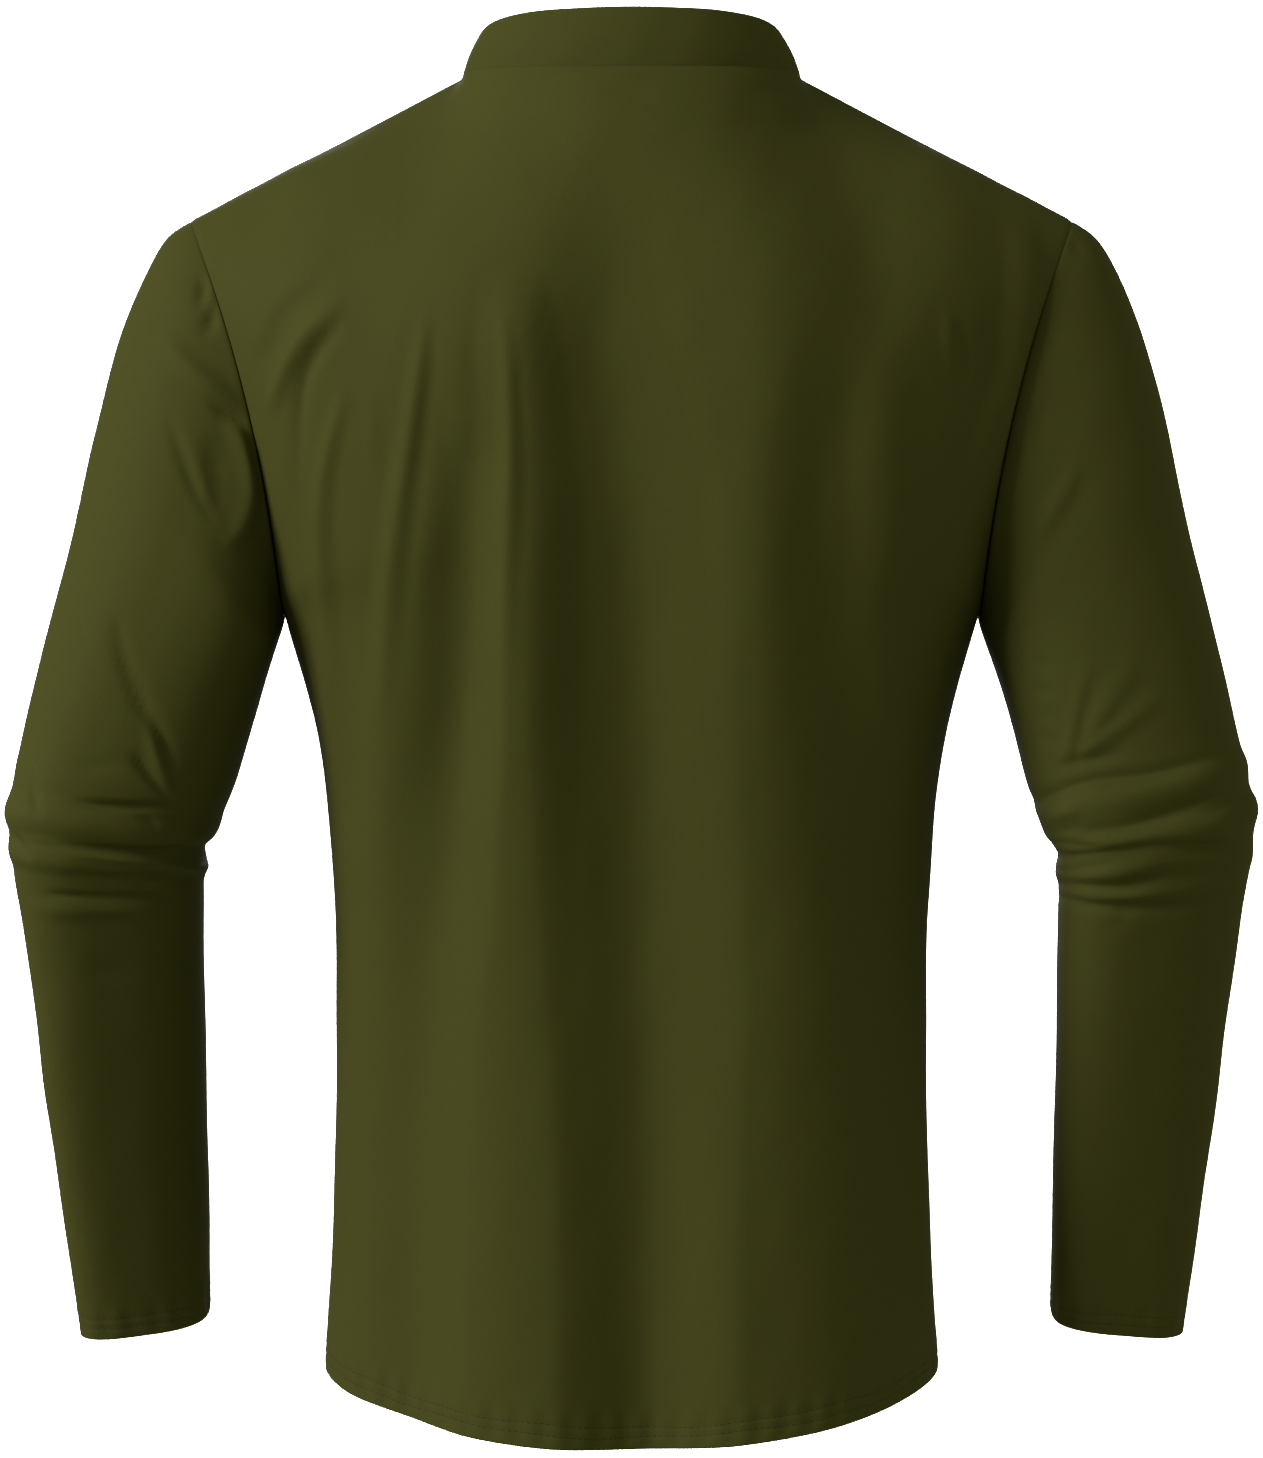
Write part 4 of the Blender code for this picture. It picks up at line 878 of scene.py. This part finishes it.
class Piece:
    """One sewn piece of cloth, from its plain grid."""

    def __init__(self, name, kind, grid, outward, behind, before):
        self.name = name
        self.kind = kind
        self.outward = outward
        self.grid = with_edge_lines(grid, 0, (0, -1))
        if not kind.closed:
            self.grid = with_edge_lines(self.grid, 1, (0, -1))
        self.measure()
        self.raise_creases(behind, before)
        self.finish_edges()
        self.tuck_seams()

    def measure(self):
        """Distances round the piece, up it, from the nearest seam and from the free edge."""
        self.round = distances(self.grid, 1)
        self.from_low = distances(self.grid, 0)
        from_edges = {
            "low": self.from_low,
            "top": self.from_low[-1] - self.from_low,
            "sides": self.round,
            "other": self.round[:, -1:] - self.round,
        }
        self.from_seam = np.minimum.reduce([from_edges[name] for name in self.kind.sewn])
        self.from_hem = from_edges["low" if self.kind.hemmed == "low" else "top"]

    def raise_creases(self, behind, before):
        """Moves the points along the cloth's own directions, by the creases of the side that they face."""
        normals = grid_normals(self.grid, self.kind.closed, self.outward)
        share = smooth_step(normals[..., 1] + 0.5)
        height = share * crease_relief(self.grid, behind) + (1.0 - share) * crease_relief(self.grid, before)
        height += wave_relief(self.grid)
        height *= smooth_step(self.from_seam / SEAM_CALM)
        at_neck = (np.abs(self.grid[..., 0]) < NECK_SEAM_SIDE) & (self.grid[..., 2] > NECK_SEAM_LOW)
        height -= np.where(at_neck, COLLAR_DIP, self.kind.dip) * np.exp(-self.from_seam / SEAM_ROLL)
        self.grid = self.grid + normals * height[..., None]
        self.normals = grid_normals(self.grid, self.kind.closed, self.outward)

    def row_height(self, row):
        """How high a row of stitches runs above the free edge, all along it."""
        along = self.round[0 if self.kind.hemmed == "low" else -1]
        wander = np.sin(along / LONG_WANDER + row) + SHORT_WANDER_SHARE * np.sin(along / SHORT_WANDER)
        return STITCH_ROWS[row] + ROW_WANDER * wander

    def finish_edges(self):
        """Turns up the hem, sinks its two rows of stitches and rounds the free edge."""
        wall = np.full(self.grid.shape[:2], self.kind.wall)
        if self.kind.hemmed:
            wall += (HEM_WALL - wall) * smooth_step((HEM_TURN - self.from_hem) / HEM_STEP)
            from_rows = [(self.from_hem - self.row_height(row)) / STITCH_SINK_WIDTH for row in (0, 1)]
            sink = sum(STITCH_SINK * np.exp(-(away**2)) for away in from_rows)
            share = smooth_step(self.from_hem / PUCKER_RISE)
            share *= smooth_step((PUCKER_END - self.from_hem) / PUCKER_FADE)
            beat = 2.0 * math.pi * self.round / PUCKER_LENGTH + PUCKER_SLANT * self.from_hem
            self.grid += self.normals * (PUCKER * share * np.sin(beat) - sink)[..., None]
            self.normals = grid_normals(self.grid, self.kind.closed, self.outward)
        radius = wall / 2.0
        near = 1.0 - np.minimum(self.from_hem / radius, 1.0)
        rounding = radius * (1.0 - np.sqrt(1.0 - near**2))
        self.outer = self.grid - self.normals * rounding[..., None]
        self.inner = self.grid - self.normals * (wall - rounding)[..., None]

    def tuck_seams(self):
        """Pushes the inner side of each sewn edge under its neighbour, so that no gap shows light."""
        flipped = self.inner.swapaxes(0, 1)
        edges = {
            "low": (self.inner, 0, 1),
            "top": (self.inner, -1, -2),
            "sides": (flipped, 0, 1),
            "other": (flipped, -1, -2),
        }
        for name, (skin, edge, next_to_it) in edges.items():
            if name in self.kind.sewn:
                skin[edge] += unit(skin[edge] - skin[next_to_it]) * SEAM_TUCK

    def area(self):
        """Area of the outer side."""
        skin = self.outer
        if self.kind.closed:
            skin = np.concatenate((skin, skin[:, :1]), axis=1)
        across = np.diff(skin, axis=1)
        down = np.diff(self.outer, axis=0)
        count = min(across.shape[1], down.shape[1])
        return float(np.linalg.norm(np.cross(across[:-1, :count], down[:, :count]), axis=-1).sum())


# %% [markdown]
# The mesh of a piece is its outer skin, its inner skin and the narrow strips between them, all in one closed
# shell. It gets a UV map measured in metres along and across the cloth, so that the knit runs with the piece
# and not with the room.


# %% Making the mesh
def wall_faces(rows, columns, closed):
    """Corners of the faces of a closed wall, each as (row, column, skin)."""
    last = columns if closed else columns - 1
    row, column = (part.ravel() for part in np.meshgrid(np.arange(rows - 1), np.arange(last), indexing="ij"))

    def corners(*parts):
        return np.stack([np.stack(np.broadcast_arrays(r, c, skin), axis=-1) for r, c, skin in parts], axis=1)

    outer = corners((row, column, 0), (row, column + 1, 0), (row + 1, column + 1, 0), (row + 1, column, 0))
    inner = outer[:, ::-1] + (0, 0, 1)
    edge = np.arange(last)
    low = corners((0, edge + 1, 0), (0, edge, 0), (0, edge, 1), (0, edge + 1, 1))
    top = corners((rows - 1, edge, 0), (rows - 1, edge + 1, 0), (rows - 1, edge + 1, 1), (rows - 1, edge, 1))
    faces = [outer, inner, low, top]
    if not closed:
        edge = np.arange(rows - 1)
        faces.append(corners((edge, 0, 0), (edge + 1, 0, 0), (edge + 1, 0, 1), (edge, 0, 1)))
        faces.append(corners((edge + 1, last, 0), (edge, last, 0), (edge, last, 1), (edge + 1, last, 1)))
    return np.concatenate(faces)


def object_of(mesh):
    """The mesh, smoothly shaded, as an object of the same name."""
    mesh.shade_smooth()
    shape = bpy.data.objects.new(mesh.name, mesh)
    bpy.context.scene.collection.objects.link(shape)
    return shape


def cloth_object(piece):
    """The piece as one closed mesh with a UV map in metres."""
    rows, columns = piece.outer.shape[:2]
    faces = wall_faces(rows, columns, piece.kind.closed)
    if piece.outward < 0:
        faces = faces[:, ::-1]
    index = (faces[..., 2] * rows + faces[..., 0]) * columns + faces[..., 1] % columns
    mesh = bpy.data.meshes.new(piece.name)
    points = np.concatenate((piece.outer, piece.inner)).reshape(-1, 3)
    mesh.from_pydata(points.tolist(), [], index.tolist())
    round_row = piece.round
    if piece.kind.closed:
        gap = np.linalg.norm(piece.grid[:, 0] - piece.grid[:, -1], axis=-1)[:, None]
        round_row = np.concatenate((round_row, round_row[:, -1:] + gap), axis=1)
    place = round_row - round_row[:, -1:] / 2.0
    down = np.broadcast_to(piece.from_low.mean(axis=1)[:, None], place.shape)
    uv = np.stack((place, down), axis=-1)[faces[..., 0], faces[..., 1]]
    mesh.uv_layers.new(name="cloth").data.foreach_set("uv", uv.ravel())
    print(f"{piece.name}: {2 * len(faces)} triangles, {piece.area():.4f} m2 outside")
    return object_of(mesh)


# %% [markdown]
# ## The five pieces
#
# The names say what each piece is. Both sleeves come from one table of ribs, but each is turned by its own
# amount and has its own creases behind.

# %% Sew the pieces
pieces = {
    "back": Piece("cloth_back", PANEL, plain_back, 1, BACK_CREASES, {}),
    "front": Piece("cloth_front", PANEL, plain_front, -1, {}, FRONT_CREASES),
    "left": Piece("cloth_sleeve_left", TUBE, plain_left, -1, LEFT_SLEEVE_BACK, SLEEVE_FRONT),
    "right": Piece("cloth_sleeve_right", TUBE, plain_right, 1, RIGHT_SLEEVE_BACK, RIGHT_SLEEVE_FRONT),
    "collar": Piece("cloth_collar", BAND, plain_collar, 1, {}, {}),
}
cloth = {name: cloth_object(piece) for name, piece in pieces.items()}

# %% [markdown]
# ## Stitches
#
# The hem and the cuffs are held by a twin needle: two rows of short straight stitches, about 5 mm apart. One
# stitch is modelled as a small, slightly flattened bar with rounded ends. Its copies are laid one after the
# other along each row, each turned to lie on the cloth, and joined into one piece.

# %% Model one stitch
STITCH_LENGTH = 0.0026
STITCH_WIDTH = 0.00050
STITCH_HEIGHT = 0.00036
STITCH_PITCH = 0.0033
LOOK_AHEAD = 0.0005  # a stitch points to the place this much further along its row

bpy.ops.object.select_all(action="DESELECT")
bpy.ops.mesh.primitive_uv_sphere_add(segments=6, ring_count=5, radius=0.5, location=(0.0, 0.0, 0.0))
stitch = bpy.context.object
bpy.ops.object.mode_set(mode="EDIT")
bpy.ops.mesh.select_all(action="SELECT")
bpy.ops.transform.rotate(value=math.radians(90), orient_axis="Y", center_override=(0.0, 0.0, 0.0))
bpy.ops.transform.resize(value=(STITCH_LENGTH, STITCH_WIDTH, STITCH_HEIGHT), center_override=(0.0, 0.0, 0.0))
bpy.ops.object.mode_set(mode="OBJECT")
stitch_points = np.array([vertex.co for vertex in stitch.data.vertices])
stitch_faces = [tuple(face.vertices) for face in stitch.data.polygons]
bpy.data.objects.remove(stitch)
print(f"one stitch has {len(stitch_faces)} faces, {np.ptp(stitch_points[:, 0]) * 1000:.2f} mm long")


# %% Lay the stitches in rows
def stitch_row(piece, row):
    """Places, ways along and outward directions of the stitches in one row above the free edge."""
    height = piece.row_height(row)
    order = slice(None) if piece.kind.hemmed == "low" else slice(None, None, -1)
    line = []
    for column in range(piece.grid.shape[1]):
        up = piece.from_hem[order, column]
        skins = np.concatenate((piece.outer[order, column], piece.normals[order, column]), axis=1)
        line.append([np.interp(height[column], up, part) for part in skins.T])
    line = np.array(line)
    if piece.kind.closed:
        line = np.concatenate((line, line[:1]))
    along = distances(line[:, :3], 0)
    count = int(along[-1] / STITCH_PITCH)
    at = (np.arange(count) + 0.5) * along[-1] / count
    place = read_along(at, along, line[:, :3])
    ahead = read_along(at + LOOK_AHEAD, along, line[:, :3])
    return place, unit(ahead - place), unit(read_along(at, along, line[:, 3:]))


def stitches(name, rows):
    """One piece of thread from its rows."""
    place, along, up = (np.concatenate(parts) for parts in zip(*rows))
    sideways = unit(np.cross(up, along))
    up = np.cross(along, sideways)
    frames = np.stack((along, sideways, up), axis=1)
    points = place[:, None] + np.einsum("pk,nkd->npd", stitch_points, frames)
    firsts = range(0, len(place) * len(stitch_points), len(stitch_points))
    faces = [tuple(corner + first for corner in face) for first in firsts for face in stitch_faces]
    mesh = bpy.data.meshes.new(name)
    mesh.from_pydata(points.reshape(-1, 3).tolist(), [], faces)
    print(f"{name}: {len(place)} stitches")
    return object_of(mesh)


threads = {
    name: stitches(f"thread_{name}", [stitch_row(pieces[name], row) for row in (0, 1)])
    for name in ("back", "front", "left", "right")
}

# %% [markdown]
# ## Materials as expressions
#
# A material is a small calculation for each point of a surface. Drawing it as nodes by hand is slow to read,
# so one class stands for a value that flows between nodes, and arithmetic on it adds Math nodes.


# %% A value in a material
class Value:
    """An output socket of a material, on which arithmetic adds Math nodes."""

    def __init__(self, tree, socket=None):
        self.tree = tree
        self.socket = socket

    def node(self, kind, settings, inputs, output=0):
        """Adds a node with its settings, then its inputs as numbers or as links, and gives one output."""
        made = self.tree.nodes.new(kind)
        for name, setting in settings.items():
            setattr(made, name, setting)
        for name, given in inputs.items():
            if isinstance(given, Value):
                self.tree.links.new(given.socket, made.inputs[name])
            else:
                made.inputs[name].default_value = given
        return Value(self.tree, made.outputs[output])

    def math(self, operation, *given):
        return self.node("ShaderNodeMath", {"operation": operation}, dict(enumerate(given)))

    def __add__(self, other):
        return self.math("ADD", self, other)

    def __sub__(self, other):
        return self.math("SUBTRACT", self, other)

    def __rsub__(self, other):
        return self.math("SUBTRACT", other, self)

    def __mul__(self, other):
        return self.math("MULTIPLY", self, other)

    def __truediv__(self, other):
        return self.math("DIVIDE", self, other)

    __radd__ = __add__
    __rmul__ = __mul__


# %% [markdown]
# ## Jersey
#
# Smooth stretch jersey is a fine knit: upright columns of V-shaped loops less than a millimetre wide. From a
# step away they only soften the light, so the bump is faint. The yarn takes the dye a little unevenly, which
# shows as fine streaks along the cloth. The cloth is matt all over.

# %% Make the jersey
WALE = 0.0008
COURSE = 0.0006
LOOP_SLANT = 0.6  # how far the legs of a loop slant, in courses
COLUMN_SHARE = 0.7  # shares of the knit's height that its columns and its loops make
LOOP_SHARE = 0.3
KNIT_BUMP = 0.22
KNIT_DEPTH = 0.00012
YARN_SCALE = (900.0, 160.0, 1.0)  # uneven bits of yarn to a metre, across and along the cloth
YARN_CHANGE = 1.1
YARN_BUMP = 0.8
PATCH_SCALE = 18.0  # broad patches to a metre
PATCH_CHANGE = 0.12
JERSEY_ROUGHNESS = 0.60
ROUGHNESS_CHANGE = 0.04
JERSEY_SHINE = 0.01


def jersey(name, colour, deep_colour):
    """Matt stretch jersey, knitted along the cloth's UV map."""
    material = bpy.data.materials.new(name)
    material.use_nodes = True
    shader = material.node_tree.nodes["Principled BSDF"]
    start = Value(material.node_tree)
    place = start.node("ShaderNodeUVMap", {"uv_map": "cloth"}, {})
    split = {"Vector": place}
    across = start.node("ShaderNodeSeparateXYZ", {}, split, "X")
    along = start.node("ShaderNodeSeparateXYZ", {}, split, "Y")
    from_wale = start.math("ABSOLUTE", start.math("FRACT", across / WALE) - 0.5) * 2.0
    loops = start.math("SINE", (along / COURSE + from_wale * LOOP_SLANT) * (2.0 * math.pi))
    knit = (1.0 - from_wale * from_wale) * COLUMN_SHARE + loops * (1.0 - from_wale) * LOOP_SHARE
    stretched = start.node("ShaderNodeMapping", {}, {"Vector": place, "Scale": YARN_SCALE})
    yarn = start.node("ShaderNodeTexNoise", {}, {"Vector": stretched, "Scale": 1.0, "Detail": 2.0})
    broad = start.node("ShaderNodeTexNoise", {}, {"Vector": place, "Scale": PATCH_SCALE, "Detail": 3.0})
    uneven = (yarn - 0.5) * YARN_CHANGE + (broad - 0.5) * PATCH_CHANGE + 0.5
    tone = start.math("MINIMUM", start.math("MAXIMUM", uneven, 0.0), 1.0)
    mixed = start.node("ShaderNodeMix", {"data_type": "RGBA"}, {0: tone, 6: deep_colour, 7: colour}, 2)
    height = knit + (yarn - 0.5) * YARN_BUMP
    bump = start.node("ShaderNodeBump", {}, {"Strength": KNIT_BUMP, "Distance": KNIT_DEPTH, "Height": height})
    links = material.node_tree.links
    links.new(mixed.socket, shader.inputs["Base Color"])
    links.new(((broad - 0.5) * ROUGHNESS_CHANGE + JERSEY_ROUGHNESS).socket, shader.inputs["Roughness"])
    links.new(bump.socket, shader.inputs["Normal"])
    shader.inputs["Specular IOR Level"].default_value = JERSEY_SHINE
    print(f"{name}: {len(material.node_tree.nodes)} nodes")
    return material


OLIVE = (0.0630, 0.0640, 0.0123, 1.0)
DEEP_OLIVE = (0.0568, 0.0577, 0.0109, 1.0)
COLLAR_OLIVE = (0.0610, 0.0620, 0.0119, 1.0)
DEEP_COLLAR_OLIVE = (0.0549, 0.0558, 0.0106, 1.0)
plain_jersey = jersey("olive_jersey", OLIVE, DEEP_OLIVE)
double_jersey = jersey("olive_jersey_double", COLLAR_OLIVE, DEEP_COLLAR_OLIVE)

# %% [markdown]
# The thread is spun polyester in the cloth's colour, a shade darker. It is two plies twisted together, which
# shows as fine slanting ridges. The grooves between the plies carry painted shade.


# %% Make the thread
THREAD_OLIVE = (0.030, 0.032, 0.006, 1.0)
TWIST_SCALE = 900.0
TWIST_UNEVEN = 1.5
TWIST_BUMP = 0.3
TWIST_DEPTH = 0.0001
# painted shade: the thread's colour is darkened to this share in the grooves between the plies
PLY_GROOVE_SHADE = 0.8  # share of the colour that is left between the plies
THREAD_ROUGHNESS = 0.65
THREAD_SHINE = 0.3


def thread_material(name, colour):
    """Twisted sewing thread, with painted shade in the grooves between its plies."""
    material = bpy.data.materials.new(name)
    material.use_nodes = True
    shader = material.node_tree.nodes["Principled BSDF"]
    start = Value(material.node_tree)
    place = start.node("ShaderNodeTexCoord", {}, {}, "Object")
    waves = {"Vector": place, "Scale": TWIST_SCALE, "Distortion": TWIST_UNEVEN}
    twist = start.node("ShaderNodeTexWave", {"bands_direction": "DIAGONAL"}, waves, "Fac")
    plies = {"Strength": TWIST_BUMP, "Distance": TWIST_DEPTH, "Height": twist}
    bump = start.node("ShaderNodeBump", {}, plies)
    # the thread's colour with painted shade, laid into the low grooves between the plies
    painted_groove_shade = tuple(part * PLY_GROOVE_SHADE for part in colour[:3]) + (1.0,)
    mixed = start.node("ShaderNodeMix", {"data_type": "RGBA"}, {0: twist, 6: painted_groove_shade, 7: colour}, 2)
    material.node_tree.links.new(mixed.socket, shader.inputs["Base Color"])
    material.node_tree.links.new(bump.socket, shader.inputs["Normal"])
    shader.inputs["Roughness"].default_value = THREAD_ROUGHNESS
    shader.inputs["Specular IOR Level"].default_value = THREAD_SHINE
    return material


olive_thread = thread_material("olive_thread", THREAD_OLIVE)
for shape in threads.values():
    shape.data.materials.append(olive_thread)
for name, shape in cloth.items():
    shape.data.materials.append(double_jersey if name == "collar" else plain_jersey)
print("materials on", len(threads) + len(cloth), "pieces")

# %% [markdown]
# ## Putting each piece in place of its node
#
# Each piece of cloth hides the node of the frame that it stands in for, and it and its stitches hang from the
# frame's root. Its widest row, its longest column and its outer area are printed. On the sleeves and the
# collar the width is the whole way round.

NODES = {
    "back": "back_panel",
    "front": "front_panel",
    "left": "sleeve_left",
    "right": "sleeve_right",
    "collar": "collar",
}
# width and length of the cut and its area in m2
Cut = namedtuple("Cut", "width length area")
for name, shape in cloth.items():
    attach(shape, "root")
    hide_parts(NODES[name])
    with_it = [threads[name]] if name in threads else []
    for thread in with_it:
        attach(thread, "root")
    piece = pieces[name]
    widest, longest = piece.round[:, -1].max(), piece.from_low[-1].max()
    print(f"{name}: {widest:.3f} m wide, {longest:.3f} m long, {piece.area():.4f} m2")

# %% [markdown]
# ## Floor and light
#
# The shirt hangs before a pale paper sweep: a floor that curves up into a wall, so that no line shows behind
# it. One large soft light, a little cool, stands on the left of the picture and grazes the folds. A faint one
# stands on the right, a weaker one before the shirt lights its front, a dim and slightly warm sky fills the
# shadows, and two lights wash the wall white.

# %% Floor
FLOOR_HEIGHT = -1.50
WALL_PLACE = -6.2
FLOOR_SIZE = 26.0
WALL_HEIGHT = 5.0
SWEEP_RADIUS = 1.6
SWEEP_FACES = 24
PAPER = (0.86, 0.86, 0.85, 1.0)
PAPER_ROUGHNESS = 0.9
CLOSE = 0.001  # a point this near a plane counts as on it

bpy.ops.object.select_all(action="DESELECT")
bpy.ops.mesh.primitive_plane_add(size=FLOOR_SIZE, location=(0.0, WALL_PLACE + FLOOR_SIZE / 2.0, FLOOR_HEIGHT))
floor = bpy.context.object
floor.name = "floor"
bpy.ops.object.transform_apply(location=True, rotation=True, scale=True)
for edge in floor.data.edges:
    edge.select = all(abs(floor.data.vertices[v].co.y - WALL_PLACE) < CLOSE for v in edge.vertices)
for face in floor.data.polygons:
    face.select = False
for vertex in floor.data.vertices:
    vertex.select = abs(vertex.co.y - WALL_PLACE) < CLOSE
bpy.ops.object.mode_set(mode="EDIT")
bpy.ops.mesh.select_mode(type="EDGE")
bpy.ops.mesh.extrude_region_move(TRANSFORM_OT_translate={"value": (0.0, 0.0, WALL_HEIGHT)})
bpy.ops.mesh.select_all(action="DESELECT")
bpy.ops.object.mode_set(mode="OBJECT")
for edge in floor.data.edges:
    ends = [floor.data.vertices[v].co for v in edge.vertices]
    edge.select = all(abs(end.y - WALL_PLACE) < CLOSE and abs(end.z - FLOOR_HEIGHT) < CLOSE for end in ends)
bpy.ops.object.mode_set(mode="EDIT")
bpy.ops.mesh.bevel(offset=SWEEP_RADIUS, segments=SWEEP_FACES)
bpy.ops.object.mode_set(mode="OBJECT")
floor.data.shade_smooth()
paper = bpy.data.materials.new("pale_paper")
paper.use_nodes = True
paper_inputs = paper.node_tree.nodes["Principled BSDF"].inputs
paper_inputs["Base Color"].default_value = PAPER
paper_inputs["Roughness"].default_value = PAPER_ROUGHNESS
floor.data.materials.append(paper)
floor.visible_diffuse = False
floor.visible_glossy = False
print(f"the sweep has {len(floor.data.polygons)} faces")


# %% Lights
CHEST = (0.0, 0.0, -0.30)
BEFORE_WALL = WALL_PLACE + 2.6
WHITE = (1.0, 1.0, 1.0)
COOL = (1.0, 1.0, 1.28)
SKY = (1.0, 1.0, 0.88, 1.0)
SKY_STRENGTH = 0.34

# place, aim and size of each square lamp in metres, its power in watts and its colour
Lamp = namedtuple("Lamp", "place aim size power colour")
LAMPS = {
    "key_light": Lamp((4.20, 2.35, 1.85), CHEST, 2.1, 268.0, COOL),
    "side_light": Lamp((-4.4, 0.9, 0.2), CHEST, 2.1, 14.0, WHITE),
    "front_light": Lamp((0.3, -4.3, 0.9), CHEST, 2.1, 110.0, WHITE),
    "wall_light_left": Lamp((1.6, BEFORE_WALL, 0.6), (0.4, WALL_PLACE, -0.5), 1.2, 300.0, WHITE),
    "wall_light_right": Lamp((-1.6, BEFORE_WALL, 0.6), (-0.4, WALL_PLACE, -0.5), 1.2, 300.0, WHITE),
}

for name, lamp in LAMPS.items():
    bpy.ops.object.light_add(type="AREA", location=lamp.place)
    light = bpy.context.object
    light.name = name
    way = np.array(lamp.aim) - np.array(lamp.place)
    light.rotation_euler = (math.atan2(math.hypot(way[0], way[1]), -way[2]), 0.0, math.atan2(-way[0], way[1]))
    light.data.size = lamp.size
    light.data.energy = lamp.power
    light.data.color = lamp.colour
    light.visible_camera = False

world = bpy.data.worlds.new("sky")
bpy.context.scene.world = world
world.use_nodes = True
sky_inputs = world.node_tree.nodes["Background"].inputs
sky_inputs["Color"].default_value = SKY
sky_inputs["Strength"].default_value = SKY_STRENGTH
bpy.context.scene.view_settings.view_transform = "Standard"
print("lights:", ", ".join(LAMPS))
